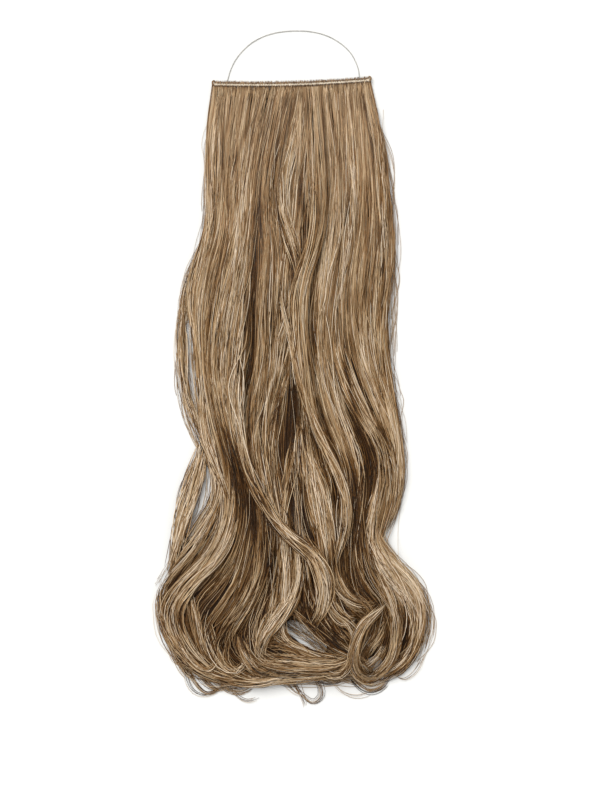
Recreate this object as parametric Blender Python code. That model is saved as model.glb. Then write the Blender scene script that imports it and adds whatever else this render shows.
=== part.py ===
# Halo hair extension, laid flat on a table with its face up.
# Metres, +Z up. The hair hangs from the seam at +Y down to its ends at -Y, X runs along the seam, and
# the underside lies on Z = 0. The origin is the middle of the footprint, measured without the wire.

import math
from collections import namedtuple

import bmesh
import bpy
from mathutils import Vector

# Driving dimensions
SEAM_WIDTH = 0.140        # along the sewn head, end to end
HAIR_LENGTH = 0.545       # from the seam to the lowest curl, as it lies
HAIR_WIDTH = 0.244        # across the widest curls
HAIR_DEPTH = 0.017        # height of the backing at its thickest, in the curls
LOCK_HEIGHT = 0.012       # thickness of a lock
TRACK_HEIGHT = 0.0021     # of each sewn head, along the hair
TRACK_THICKNESS = 0.0018
TRACK_STEP = 0.0018       # how far the front head lies below the back one
SEAM_RISE = 0.0038        # how much higher the right end of the seam lies than the left
SEAM_SAG = 0.0011         # dip of the seam's left half
FOLD_LENGTH = 0.004       # the turned-over end of a sewn head
FOLD_SWELL = 0.35         # how much wider it is there, as a share of the head
WIRE_DIAMETER = 0.0008
WIRE_SPAN = 0.1195        # between the wire's two ends
WIRE_REACH = 0.0459       # how far the arch stands out past the seam
WIRE_SHIFT = 0.0008       # the wire's middle, right of the hair's middle
ROOT_DEPTH = 0.0015       # of the back row's hair where it passes under the front head
CLEARANCE = 0.0003        # between pieces that touch

# Where things lie along Y
SEAM_LEFT = -0.290 * HAIR_WIDTH
HEAD_ABOVE_SEAM = SEAM_RISE + TRACK_HEIGHT
SEAM_Y = (HAIR_LENGTH - HEAD_ABOVE_SEAM) / 2
SEAM_FADE = 0.16          # share of the length over which the seam's wave dies out

# The shape of a lock
GROW_SHARE = 0.35         # share of a lock over which it rises to its full thickness
TAPER_SHARE = 0.15        # share of a lock over which it thins to its end
START_WIDTH = 0.7         # where it starts, as a share of its full width
START_HEIGHT = 0.3        # and of its full thickness
END_WIDTH = 0.4
END_HEIGHT = 0.3
LOCK_BED = 0.6            # least height of its middle, as a share of half its thickness

# The shape of the backing
ROOT_EDGES = ((-0.288, 0.282), (-0.290, 0.285), (-0.290, 0.288))    # left and right, under the heads
ROOT_SHARE = 0.9          # depth just below the heads, as a share of the first section's
EDGE_SHARE = 0.25         # height of its edges, as a share of its middle
CROWN = 0.7               # power that its cross section rises with, 1 for a round one
POINT_SPREAD = 2 / 3      # power that draws the points of a section towards its edges
FALL_AWAY = 3             # power that its top falls with, out from the middle

# Fineness
RING_SIDES = 8
RING_SPACING = 0.013
BACKING_SIDES = 12        # points on the backing's top from edge to edge, less one
BELOW_TABLE = 0.004       # depth that is trimmed off at the table
GAP_SIDES = 16
GAP_TALLNESS = 4          # height of a gap's cutter, in thicknesses of the mass
TRACK_STATIONS = 24
WIRE_SPACING = 0.0024

Outline = namedtuple("Outline", "along left right depth")
Lock = namedtuple("Lock", "name width layer guide")
Gap = namedtuple("Gap", "across along length width turn")
Knot = namedtuple("Knot", "across up")

# The backing, a row for each section. along is a share of HAIR_LENGTH below the seam, left and right
# are shares of HAIR_WIDTH from the middle, and depth is a share of HAIR_DEPTH.
BACKING = (
    Outline(0.030, -0.292, 0.296, 0.22),
    Outline(0.060, -0.298, 0.320, 0.28),
    Outline(0.100, -0.305, 0.340, 0.33),
    Outline(0.150, -0.306, 0.352, 0.38),
    Outline(0.200, -0.298, 0.365, 0.42),
    Outline(0.250, -0.300, 0.374, 0.46),
    Outline(0.300, -0.335, 0.374, 0.50),
    Outline(0.350, -0.360, 0.360, 0.52),
    Outline(0.400, -0.372, 0.348, 0.54),
    Outline(0.450, -0.366, 0.350, 0.56),
    Outline(0.500, -0.352, 0.362, 0.58),
    Outline(0.550, -0.336, 0.376, 0.60),
    Outline(0.600, -0.314, 0.388, 0.64),
    Outline(0.640, -0.292, 0.390, 0.68),
    Outline(0.680, -0.284, 0.372, 0.72),
    Outline(0.715, -0.305, 0.340, 0.76),
    Outline(0.745, -0.362, 0.304, 0.80),
    Outline(0.775, -0.425, 0.340, 0.86),
    Outline(0.810, -0.474, 0.430, 0.92),
    Outline(0.845, -0.488, 0.470, 0.97),
    Outline(0.885, -0.474, 0.476, 1.00),
    Outline(0.920, -0.445, 0.450, 0.96),
    Outline(0.950, -0.400, 0.410, 0.86),
    Outline(0.972, -0.335, 0.350, 0.70),
    Outline(0.985, -0.240, 0.310, 0.45),
)

# The locks, a row each. width is a share of HAIR_WIDTH, and layer says what the lock lies on:
# 0 the table, 1 the backing, 2 other locks. guide holds (across, along) as shares.
LOCKS = (
    Lock("outer_left_wisp", 0.030, 0, ((-0.290, 0.200), (-0.325, 0.262), (-0.372, 0.312), (-0.396, 0.370),
         (-0.400, 0.440), (-0.382, 0.505), (-0.340, 0.565), (-0.295, 0.615), (-0.265, 0.660))),
    Lock("left_side", 0.085, 1, ((-0.262, 0.014), (-0.275, 0.150), (-0.275, 0.220), (-0.305, 0.290),
         (-0.335, 0.360), (-0.340, 0.430), (-0.335, 0.490), (-0.312, 0.550), (-0.275, 0.610),
         (-0.250, 0.660), (-0.260, 0.710), (-0.310, 0.755), (-0.380, 0.795), (-0.450, 0.825))),
    Lock("left_fall", 0.095, 1, ((-0.205, 0.014), (-0.225, 0.150), (-0.230, 0.250), (-0.265, 0.340),
         (-0.285, 0.420), (-0.285, 0.500), (-0.260, 0.560), (-0.222, 0.620), (-0.200, 0.680),
         (-0.220, 0.740), (-0.275, 0.790), (-0.350, 0.825), (-0.440, 0.850))),
    Lock("left_inner", 0.090, 1, ((-0.148, 0.014), (-0.170, 0.150), (-0.185, 0.250), (-0.220, 0.340),
         (-0.245, 0.420), (-0.245, 0.490), (-0.215, 0.550), (-0.170, 0.620), (-0.148, 0.690),
         (-0.158, 0.750), (-0.195, 0.805), (-0.250, 0.850), (-0.300, 0.885))),
    Lock("crossing_lock", 0.055, 2, ((-0.165, 0.300), (-0.172, 0.380), (-0.205, 0.450), (-0.213, 0.520),
         (-0.188, 0.600), (-0.150, 0.650), (-0.100, 0.690), (-0.040, 0.730), (0.040, 0.765),
         (0.100, 0.800), (0.122, 0.835), (0.105, 0.868), (0.070, 0.888))),
    Lock("centre_left", 0.095, 1, ((-0.090, 0.014), (-0.110, 0.150), (-0.115, 0.240), (-0.100, 0.320),
         (-0.095, 0.400), (-0.098, 0.460), (-0.128, 0.540), (-0.142, 0.600), (-0.115, 0.670),
         (-0.100, 0.730), (-0.118, 0.790), (-0.162, 0.840), (-0.220, 0.880), (-0.264, 0.910),
         (-0.278, 0.940), (-0.250, 0.968))),
    Lock("s_lock", 0.080, 1, ((-0.030, 0.014), (-0.060, 0.130), (-0.052, 0.200), (-0.015, 0.250),
         (0.020, 0.290), (0.045, 0.330))),
    Lock("swirl_lock", 0.070, 2, ((0.068, 0.014), (0.088, 0.150), (0.092, 0.220), (0.065, 0.280),
         (0.030, 0.330), (0.020, 0.385), (0.035, 0.445), (0.055, 0.500), (0.075, 0.560),
         (0.110, 0.610), (0.150, 0.650))),
    Lock("thin_crossing", 0.044, 2, ((-0.045, 0.320), (-0.030, 0.370), (-0.005, 0.420), (0.020, 0.470),
         (0.045, 0.520), (0.080, 0.570), (0.130, 0.610), (0.182, 0.650), (0.205, 0.700),
         (0.195, 0.750), (0.165, 0.790), (0.142, 0.825))),
    Lock("centre_right", 0.105, 1, ((0.132, 0.014), (0.145, 0.150), (0.140, 0.250), (0.122, 0.340),
         (0.118, 0.410), (0.132, 0.480), (0.165, 0.550), (0.208, 0.610), (0.232, 0.670),
         (0.228, 0.730), (0.232, 0.790), (0.268, 0.835), (0.325, 0.855))),
    Lock("belly_lock", 0.105, 1, ((0.030, 0.580), (0.058, 0.630), (0.085, 0.680), (0.105, 0.725),
         (0.122, 0.770))),
    Lock("right_fall", 0.100, 1, ((0.195, 0.014), (0.212, 0.150), (0.210, 0.250), (0.202, 0.340),
         (0.206, 0.420), (0.236, 0.500), (0.280, 0.560), (0.328, 0.610), (0.358, 0.655),
         (0.352, 0.695), (0.322, 0.730))),
    Lock("right_inner", 0.090, 1, ((0.245, 0.014), (0.275, 0.150), (0.285, 0.250), (0.275, 0.340),
         (0.278, 0.420), (0.305, 0.490), (0.340, 0.550), (0.365, 0.605))),
    Lock("right_edge", 0.064, 1, ((0.272, 0.018), (0.318, 0.100), (0.335, 0.180), (0.350, 0.260),
         (0.340, 0.340), (0.328, 0.410), (0.334, 0.480), (0.354, 0.540), (0.374, 0.600),
         (0.376, 0.650), (0.360, 0.700), (0.326, 0.736))),
    Lock("outer_curl", 0.100, 1, ((0.322, 0.625), (0.295, 0.670), (0.282, 0.720), (0.302, 0.765),
         (0.360, 0.805), (0.425, 0.838), (0.455, 0.882), (0.440, 0.928), (0.395, 0.958),
         (0.330, 0.975), (0.265, 0.976))),
    Lock("inner_ring", 0.075, 1, ((0.240, 0.770), (0.285, 0.810), (0.340, 0.848), (0.370, 0.885),
         (0.370, 0.925), (0.335, 0.955), (0.285, 0.966))),
    Lock("ring_tip", 0.056, 2, ((0.268, 0.978), (0.232, 0.962), (0.220, 0.935), (0.242, 0.905),
         (0.288, 0.880), (0.345, 0.860))),
    Lock("fan_upper", 0.048, 1, ((0.150, 0.800), (0.178, 0.838), (0.238, 0.860), (0.315, 0.860))),
    Lock("fan_lower", 0.060, 1, ((0.120, 0.840), (0.155, 0.876), (0.205, 0.892), (0.255, 0.878))),
    Lock("left_edge_fold", 0.066, 1, ((-0.445, 0.812), (-0.472, 0.850), (-0.462, 0.885), (-0.432, 0.922),
         (-0.385, 0.952), (-0.315, 0.972), (-0.220, 0.982), (-0.120, 0.980), (-0.030, 0.972))),
    Lock("left_under", 0.056, 1, ((-0.400, 0.840), (-0.402, 0.885), (-0.372, 0.928), (-0.315, 0.958))),
    Lock("left_hanging", 0.048, 1, ((-0.362, 0.838), (-0.346, 0.880), (-0.330, 0.925), (-0.282, 0.962))),
    Lock("centre_curl", 0.085, 1, ((-0.060, 0.690), (-0.036, 0.745), (-0.026, 0.795), (-0.036, 0.843),
         (-0.076, 0.880), (-0.115, 0.912), (-0.120, 0.945), (-0.085, 0.970), (-0.020, 0.980))),
    Lock("base_sweep", 0.080, 1, ((-0.090, 0.942), (0.000, 0.958), (0.080, 0.968), (0.150, 0.966),
         (0.215, 0.955))),
    Lock("lower_left_lock", 0.056, 0, ((-0.315, 0.590), (-0.352, 0.645), (-0.388, 0.700),
         (-0.420, 0.755), (-0.435, 0.800))),
)

# Gaps through which the table shows. length and width are shares of HAIR_WIDTH, turn is in degrees.
GAPS = (
    Gap(0.055, 0.917, 0.190, 0.040, -38),
    Gap(0.412, 0.905, 0.100, 0.016, -96),
)

# The wire's route on the table, from its left end to its right one. across is a share of WIRE_SPAN from
# its middle, up is a share of WIRE_REACH above the back head.
WIRE_ROUTE = (
    Knot(-0.500, 0.000),
    Knot(-0.491, 0.105),
    Knot(-0.478, 0.215),
    Knot(-0.457, 0.345),
    Knot(-0.425, 0.485),
    Knot(-0.383, 0.620),
    Knot(-0.333, 0.740),
    Knot(-0.274, 0.840),
    Knot(-0.207, 0.920),
    Knot(-0.124, 0.975),
    Knot(-0.048, 0.997),
    Knot(0.027, 1.000),
    Knot(0.110, 0.983),
    Knot(0.194, 0.934),
    Knot(0.269, 0.856),
    Knot(0.336, 0.750),
    Knot(0.395, 0.620),
    Knot(0.441, 0.475),
    Knot(0.472, 0.315),
    Knot(0.490, 0.180),
    Knot(0.500, 0.000),
)

COLOURS = {  # red, green, blue, roughness
    "ash_blonde_hair": (0.235, 0.150, 0.085, 0.45),
    "taupe_seam": (0.130, 0.098, 0.068, 0.60),
    "cream_seam": (0.560, 0.480, 0.370, 0.65),
    "clear_nylon": (0.720, 0.740, 0.760, 0.15),
}


def clear_scene():
    for leftover in list(bpy.data.objects):
        bpy.data.objects.remove(leftover, do_unlink=True)


def new_collection(name):
    made = bpy.data.collections.new(name)
    bpy.context.scene.collection.children.link(made)
    return made


def material(name):
    made = bpy.data.materials.new(name)
    made.use_nodes = True
    shader = made.node_tree.nodes["Principled BSDF"]
    red, green, blue, roughness = COLOURS[name]
    shader.inputs["Base Color"].default_value = (red, green, blue, 1)
    shader.inputs["Roughness"].default_value = roughness
    shader.inputs["Metallic"].default_value = 0
    return made


def between(rows, along, column):
    """A column of a table of sections, read at any place along the hair."""
    if along <= rows[0].along:
        return getattr(rows[0], column)
    for row, after in zip(rows, rows[1:]):
        if along <= after.along:
            share = (along - row.along) / (after.along - row.along)
            return (1 - share) * getattr(row, column) + share * getattr(after, column)
    return getattr(rows[-1], column)


def seam_wave(x):
    """How far the seam lies above its left end, at x."""
    share = (x - SEAM_LEFT) / SEAM_WIDTH
    share = min(max(share, 0), 1)
    return SEAM_RISE * share ** 2 - SEAM_SAG * math.sin(math.pi * share)


def place(across, along):
    """The point of the table under a pair of shares."""
    x = across * HAIR_WIDTH
    fade = max(0.0, 1 - along / SEAM_FADE)
    return Vector((x, SEAM_Y - along * HAIR_LENGTH + fade * seam_wave(x), 0))


def backing_top(across, along):
    """Height of the backing's top, nought past its edge."""
    left = between(BACKING, along, "left")
    right = between(BACKING, along, "right")
    off_middle = abs(2 * across - left - right) / (right - left)
    if off_middle >= 1:
        return 0
    return HAIR_DEPTH * between(BACKING, along, "depth") * math.sqrt(1 - off_middle ** FALL_AWAY)


def smooth_curve(points, spacing):
    """Points about the spacing apart on one smooth curve through the given ones."""
    ends = [2 * points[0] - points[1], *points, 2 * points[-1] - points[-2]]
    found = []
    for before, start, stop, after in zip(ends, ends[1:], ends[2:], ends[3:]):
        steps = max(1, round((stop - start).length / spacing))
        for step in range(steps):
            t = step / steps
            found.append(0.5 * (2 * start + (stop - before) * t
                                + (2 * before - 5 * start + 4 * stop - after) * t ** 2
                                + (3 * start - before - 3 * stop + after) * t ** 3))
    return found + [points[-1]]


def loft(name, rings, collection):
    """One closed skin through rings of as many points each, with its ends closed by bands of faces."""
    shape = bmesh.new()
    rows = [[shape.verts.new(point) for point in ring] for ring in rings]
    for row, after in zip(rows, rows[1:]):
        for i, corner in enumerate(row):
            j = (i + 1) % len(row)
            shape.faces.new((corner, row[j], after[j], after[i]))
    for row in (rows[0], rows[-1]):
        for i in range(len(row) // 2 - 1):
            shape.faces.new((row[i], row[i + 1], row[-2 - i], row[-1 - i]))
    bmesh.ops.recalc_face_normals(shape, faces=shape.faces)
    mesh = bpy.data.meshes.new(name)
    shape.to_mesh(mesh)
    shape.free()
    made = bpy.data.objects.new(name, mesh)
    collection.objects.link(made)
    return made


def make_track(name, level, drop, finish, collection):
    """A sewn head: a flat band with rounded edges that follows the seam, turned over at both ends."""
    steps = [SEAM_WIDTH * i / TRACK_STATIONS for i in range(1, TRACK_STATIONS)]
    steps = [0, FOLD_LENGTH, *steps[1:-1], SEAM_WIDTH - FOLD_LENGTH, SEAM_WIDTH]
    edge = TRACK_THICKNESS / 4
    rings = []
    for step in steps:
        x = SEAM_LEFT + step
        y = SEAM_Y + TRACK_HEIGHT / 2 - drop + seam_wave(x)
        half = TRACK_HEIGHT / 2 * (1 + FOLD_SWELL if step in (0, SEAM_WIDTH) else 1)
        profile = ((-half, edge), (edge - half, 0), (half - edge, 0), (half, edge),
                   (half, TRACK_THICKNESS - edge), (half - edge, TRACK_THICKNESS),
                   (edge - half, TRACK_THICKNESS), (-half, TRACK_THICKNESS - edge))
        rings.append([Vector((x, y + across, level + up)) for across, up in profile])
    made = loft(name, rings, collection)
    made.data.materials.append(finish)
    return made


def make_backing(collection):
    """The whole mass without its locks. It goes a little below the table, where it is trimmed."""
    swell = FOLD_SWELL * TRACK_HEIGHT / 2
    starts = (swell + 2 * CLEARANCE) / HAIR_LENGTH
    below_head = starts + TRACK_STEP / HAIR_LENGTH
    depth = ROOT_DEPTH / HAIR_DEPTH
    sections = [Outline(starts, *ROOT_EDGES[0], depth),
                Outline(below_head, *ROOT_EDGES[1], depth),
                Outline(2 * below_head, *ROOT_EDGES[2], ROOT_SHARE * BACKING[0].depth), *BACKING]
    rings = []
    for row in sections:
        under, over = [], []
        for i in range(BACKING_SIDES + 1):
            angle = math.pi * i / BACKING_SIDES
            reach = math.copysign(abs(math.cos(angle)) ** POINT_SPREAD, math.cos(angle))
            across = (row.left + row.right) / 2 + (row.right - row.left) / 2 * reach
            ground = place(across, row.along)
            up = row.depth * HAIR_DEPTH * (EDGE_SHARE + (1 - EDGE_SHARE) * math.sin(angle) ** CROWN)
            over.append(ground + Vector((0, 0, up)))
            under.append(ground - Vector((0, 0, BELOW_TABLE)))
        rings.append(over + under[::-1])
    return loft("backing", rings, collection)


def make_lock(lock, collection):
    """A lens-shaped bundle along its guide, thin at both ends so that it runs into the mass."""
    half_width = lock.width * HAIR_WIDTH / 2
    half_height = min(LOCK_HEIGHT / 2, half_width)
    lift = LOCK_HEIGHT / 2 if lock.layer == 2 else 0
    marks = []
    for across, along in lock.guide:
        ground = place(across, along)
        top = backing_top(across, along) if lock.layer else 0
        ground.z = max(top, LOCK_BED * half_height) + lift
        marks.append(ground)
    path = smooth_curve(marks, RING_SPACING)
    rings = []
    for i, centre in enumerate(path):
        ahead = path[min(i + 1, len(path) - 1)] - path[max(i - 1, 0)]
        ahead.z = 0
        side = Vector((ahead.y, -ahead.x, 0)).normalized()
        done = i / (len(path) - 1)
        grown = min(1, done / GROW_SHARE)
        kept = min(1, (1 - done) / TAPER_SHARE)
        wide = half_width * (START_WIDTH + (1 - START_WIDTH) * grown)
        wide *= END_WIDTH + (1 - END_WIDTH) * kept
        high = half_height * (START_HEIGHT + (1 - START_HEIGHT) * grown)
        high *= END_HEIGHT + (1 - END_HEIGHT) * kept
        ring = []
        for k in range(RING_SIDES):
            angle = 2 * math.pi * (k + 0.5) / RING_SIDES
            ring.append(centre + side * (wide * math.cos(angle)) + Vector((0, 0, high * math.sin(angle))))
        rings.append(ring)
    return loft(lock.name, rings, collection)


def keep_as_helper(helper, collection):
    """Puts a cutter or a lock in its own collection, out of the render."""
    for owner in list(helper.users_collection):
        owner.objects.unlink(helper)
    collection.objects.link(helper)
    helper.hide_render = True
    helper.display_type = "WIRE"
    return helper


def make_gap_cutter(gap, collection):
    """A lens-shaped plug that opens a gap right through the hair."""
    bpy.ops.mesh.primitive_cylinder_add(vertices=GAP_SIDES, radius=0.5, depth=1)
    made = bpy.context.active_object
    made.name = "gap_cutter"
    made.location = place(gap.across, gap.along)
    made.scale = (gap.length * HAIR_WIDTH, gap.width * HAIR_WIDTH, GAP_TALLNESS * (HAIR_DEPTH + LOCK_HEIGHT))
    made.rotation_euler.z = math.radians(gap.turn)
    return keep_as_helper(made, collection)


def make_table_cutter(collection):
    """A block whose top is the table, for the flat underside."""
    size = 2 * (HAIR_LENGTH + HAIR_WIDTH)
    depth = 2 * (BELOW_TABLE + LOCK_HEIGHT)
    bpy.ops.mesh.primitive_cube_add(size=1, location=(0, 0, -depth / 2))
    made = bpy.context.active_object
    made.name = "table_cutter"
    made.scale = (size, size, depth)
    return keep_as_helper(made, collection)


def make_hair(finish, parts, locks, cutters):
    """The backing and its locks fused, opened at the gaps and trimmed at the table."""
    hair = make_backing(parts)
    hair.name = "hair"
    for lock in LOCKS:
        keep_as_helper(make_lock(lock, locks), locks)
    join = hair.modifiers.new("fuse the locks", "BOOLEAN")
    join.operation = "UNION"
    join.operand_type = "COLLECTION"
    join.collection = locks
    join.solver = "EXACT"
    join.use_self = True
    for helper in [make_gap_cutter(gap, cutters) for gap in GAPS] + [make_table_cutter(cutters)]:
        cut = hair.modifiers.new("cut " + helper.name, "BOOLEAN")
        cut.operation = "DIFFERENCE"
        cut.object = helper
        cut.solver = "EXACT"
    hair.data.materials.append(finish)
    return hair


def make_wire(finish, collection):
    """The clear thread, an arch on the table from one end of the back head to the other."""
    marks = []
    for knot in WIRE_ROUTE:
        x = WIRE_SHIFT + knot.across * WIRE_SPAN
        foot = SEAM_Y + TRACK_HEIGHT + CLEARANCE + seam_wave(x)
        marks.append(Vector((x, foot + knot.up * WIRE_REACH, WIRE_DIAMETER / 2)))
    points = smooth_curve(marks, WIRE_SPACING)
    line = bpy.data.curves.new("halo_wire", "CURVE")
    line.dimensions = "3D"
    line.bevel_depth = WIRE_DIAMETER / 2
    line.bevel_resolution = 2
    line.use_fill_caps = True
    spline = line.splines.new("POLY")
    spline.points.add(len(points) - 1)
    for corner, point in zip(spline.points, points):
        corner.co = (*point, 1)
    line.materials.append(finish)
    made = bpy.data.objects.new("halo_wire", line)
    collection.objects.link(made)
    return made


def main():
    clear_scene()
    parts = new_collection("halo_hair_extension")
    locks = new_collection("locks")
    cutters = new_collection("cutters")
    make_track("weft_track_back", 0, 0, material("taupe_seam"), parts)
    make_track("weft_track_front", TRACK_THICKNESS + CLEARANCE, TRACK_STEP, material("cream_seam"), parts)
    make_hair(material("ash_blonde_hair"), parts, locks, cutters)
    make_wire(material("clear_nylon"), parts)


main()
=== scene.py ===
import math
from collections import namedtuple

import bpy
import numpy as np
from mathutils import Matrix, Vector
from mathutils.bvhtree import BVHTree


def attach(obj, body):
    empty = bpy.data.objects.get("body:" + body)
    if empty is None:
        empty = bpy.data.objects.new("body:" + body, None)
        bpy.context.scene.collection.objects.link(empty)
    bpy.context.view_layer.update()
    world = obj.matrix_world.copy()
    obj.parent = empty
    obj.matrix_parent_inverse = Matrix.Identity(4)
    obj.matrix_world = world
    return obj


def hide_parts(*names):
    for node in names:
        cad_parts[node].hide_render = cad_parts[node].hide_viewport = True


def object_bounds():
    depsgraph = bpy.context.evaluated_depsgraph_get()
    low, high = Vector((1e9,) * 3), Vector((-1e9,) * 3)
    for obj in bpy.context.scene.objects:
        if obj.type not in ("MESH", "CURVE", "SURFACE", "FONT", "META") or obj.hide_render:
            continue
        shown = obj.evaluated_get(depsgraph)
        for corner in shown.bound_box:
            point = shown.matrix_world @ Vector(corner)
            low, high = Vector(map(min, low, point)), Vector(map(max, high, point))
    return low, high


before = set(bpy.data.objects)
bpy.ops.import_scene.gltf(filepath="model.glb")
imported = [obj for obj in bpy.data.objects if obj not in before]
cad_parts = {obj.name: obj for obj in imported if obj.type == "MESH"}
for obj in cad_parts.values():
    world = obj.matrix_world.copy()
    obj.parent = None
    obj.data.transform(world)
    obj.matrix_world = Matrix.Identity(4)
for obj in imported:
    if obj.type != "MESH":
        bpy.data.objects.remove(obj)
cadLow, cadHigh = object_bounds()
print("frame loaded", [round(1000 * (b - a), 1) for a, b in zip(cadLow, cadHigh)])

# Metres, in the part's own frame: the hair hangs from the seam at +Y, and its underside is Z = 0.
layout = {
    "hairWidth": 0.244,
    "hairLength": 0.545,
    "seamWidth": 0.140,
    "seamRise": 0.0038,      # how much higher the right end of the seam lies than the left
    "seamSag": 0.0011,
    "seamLeft": -0.290,      # its left end, as a share of the hair's width
    "seamFade": 0.16,        # share of the length over which the seam's wave dies out
    "headHeight": 0.0021,    # of each sewn head, along the hair
    "clearance": 0.0003,     # between the wire and the back head
}
seamY = (layout["hairLength"] - layout["seamRise"] - layout["headHeight"]) / 2
seamLeft = layout["seamLeft"] * layout["hairWidth"]


def seamWave(x):
    share = np.clip((x - seamLeft) / layout["seamWidth"], 0, 1)
    return layout["seamRise"] * share ** 2 - layout["seamSag"] * np.sin(np.pi * share)


def placeOnTable(across, along):
    # x and y of a pair of shares of the hair's width and length
    x = across * layout["hairWidth"]
    fade = np.maximum(0, 1 - along / layout["seamFade"])
    return x, seamY - along * layout["hairLength"] + fade * seamWave(x)


def deselectAll():
    if bpy.context.object and bpy.context.object.mode != "OBJECT":
        bpy.ops.object.mode_set(mode="OBJECT")
    bpy.ops.object.select_all(action="DESELECT")


# Colours and materials

def colour(text, alpha=1.0):
    # an sRGB hex value turned to linear
    parts = [int(text[i:i + 2], 16) / 255 for i in (1, 3, 5)]
    return (*[c / 12.92 if c <= 0.04045 else ((c + 0.055) / 1.055) ** 2.4 for c in parts], alpha)


def setNode(node, links=(), **settings):
    # settings name a property, or an input socket with its spaces as underscores
    for name, value in settings.items():
        if hasattr(node, name):
            setattr(node, name, value)
        else:
            node.inputs[name.replace("_", " ")].default_value = value
    for source, socket in links:
        node.id_data.links.new(source, node.inputs[socket])
    return node


def addNode(tree, kind, links=(), **settings):
    return setNode(tree.nodes.new(kind), links, **settings)


def newMaterial(name):
    made = bpy.data.materials.new(name)
    made.use_nodes = True
    return made, made.node_tree, made.node_tree.nodes["Principled BSDF"]


def fillRamp(ramp, stops):
    points = ramp.color_ramp.elements
    while len(points) < len(stops):
        points.new(0.5)
    for point, (place, text) in zip(points, stops):
        point.position = place
        point.color = colour(text)


hairLook = {
    "tones": ((0.00, "#170b02"), (0.14, "#36200a"), (0.30, "#634522"), (0.45, "#8b6d49"),
              (0.60, "#ab8f6b"), (0.75, "#c4ad8c"), (0.90, "#dac9b3"), (1.00, "#e8dcca")),
    "warmTint": "#9a6630",    # golden brown strands
    "warmMost": 0.84,
    "warmByAge": ((0.0, 0.3), (1.0, 0.5), (0.10, 0.45), (0.20, 0.80), (0.30, 0.60), (0.45, 0.50)),
    "ashTint": "#968a7a",     # greyish ones
    "ashMost": 0.20,
    "rootTint": "#b09a88",    # the ash of the undyed roots
    "rootMost": 0.12,
    "rootEnd": 0.45,          # share of the length at which it is gone
    "roughness": 0.42,
    # the core's tones, dark as painted shade
    "coreTones": ((0.35, "#170c03"), (0.70, "#36210c")),
    "coreStreakWidth": 0.0012,
}


def dyedHairMaterial():
    # Dyed human hair, washed and brushed: satin, each strand in one tone. The map's u is the strand's
    # tone, painted shade and light included, and its v runs from the root to the tip.
    made, tree, shader = newMaterial("dyed human hair, brushed")
    strandMap = addNode(tree, "ShaderNodeUVMap", uv_map="OFBake")
    split = addNode(tree, "ShaderNodeSeparateXYZ", [(strandMap.outputs[0], 0)])
    tones = addNode(tree, "ShaderNodeValToRGB", [(split.outputs["X"], 0)])
    fillRamp(tones, hairLook["tones"])
    stretch = addNode(tree, "ShaderNodeMapping", [(strandMap.outputs[0], 0)], Scale=(90, 5, 1))
    streaks = addNode(tree, "ShaderNodeTexNoise", [(stretch.outputs[0], "Vector")], Scale=1.0, Detail=2.0)
    warmShare = addNode(tree, "ShaderNodeMapRange", [(streaks.outputs[0], "Value")],
                        From_Min=0.48, From_Max=0.75, To_Max=hairLook["warmMost"])
    warmByAge = addNode(tree, "ShaderNodeFloatCurve", [(split.outputs["Y"], "Value")])
    ends, between = hairLook["warmByAge"][:2], hairLook["warmByAge"][2:]
    places = warmByAge.mapping.curves[0].points
    places[0].location, places[1].location = ends
    for place in between:
        places.new(*place)
    warmByAge.mapping.update()
    warmer = addNode(tree, "ShaderNodeMath", [(warmShare.outputs[0], 0), (warmByAge.outputs[0], 1)],
                     operation="MULTIPLY")
    warm = addNode(tree, "ShaderNodeMix", data_type="RGBA")
    ashShare = addNode(tree, "ShaderNodeMapRange", [(streaks.outputs[0], "Value")],
                       From_Min=0.46, From_Max=0.30, To_Max=hairLook["ashMost"])
    ash = addNode(tree, "ShaderNodeMix", data_type="RGBA")
    rootShare = addNode(tree, "ShaderNodeMapRange", [(split.outputs["Y"], "Value")],
                        From_Max=hairLook["rootEnd"], To_Min=hairLook["rootMost"], To_Max=0.0)
    rooted = addNode(tree, "ShaderNodeMix", data_type="RGBA")
    base = tones.outputs[0]
    for mix, share, tint in ((warm, warmer, "warmTint"), (ash, ashShare, "ashTint"),
                             (rooted, rootShare, "rootTint")):
        setNode(mix, [(share.outputs[0], 0), (base, 6)])
        mix.inputs[7].default_value = colour(hairLook[tint])
        base = mix.outputs[2]
    setNode(shader, [(base, "Base Color")], Roughness=hairLook["roughness"], IOR=1.55,
            Specular_IOR_Level=0.14)
    return made


def hairShadowMaterial():
    # The hair deep in the mass: the same dyed hair, in painted shade where little light comes
    made, tree, shader = newMaterial("dyed human hair, painted shade deep in the mass")
    spot = addNode(tree, "ShaderNodeTexCoord")
    perStreak = 1 / hairLook["coreStreakWidth"]
    stretch = addNode(tree, "ShaderNodeMapping", [(spot.outputs["Object"], 0)],
                      Scale=(perStreak, perStreak * 0.04, perStreak * 0.3))
    streaks = addNode(tree, "ShaderNodeTexNoise", [(stretch.outputs[0], "Vector")], Scale=1.0, Detail=3.0)
    tones = addNode(tree, "ShaderNodeValToRGB", [(streaks.outputs[0], 0)])
    fillRamp(tones, hairLook["coreTones"])
    relief = addNode(tree, "ShaderNodeBump", [(streaks.outputs[0], "Height")],
                     Strength=0.5, Distance=0.0008)
    setNode(shader, [(tones.outputs[0], "Base Color"), (relief.outputs[0], "Normal")], Roughness=0.7,
            Specular_IOR_Level=0.15)
    return made


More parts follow.
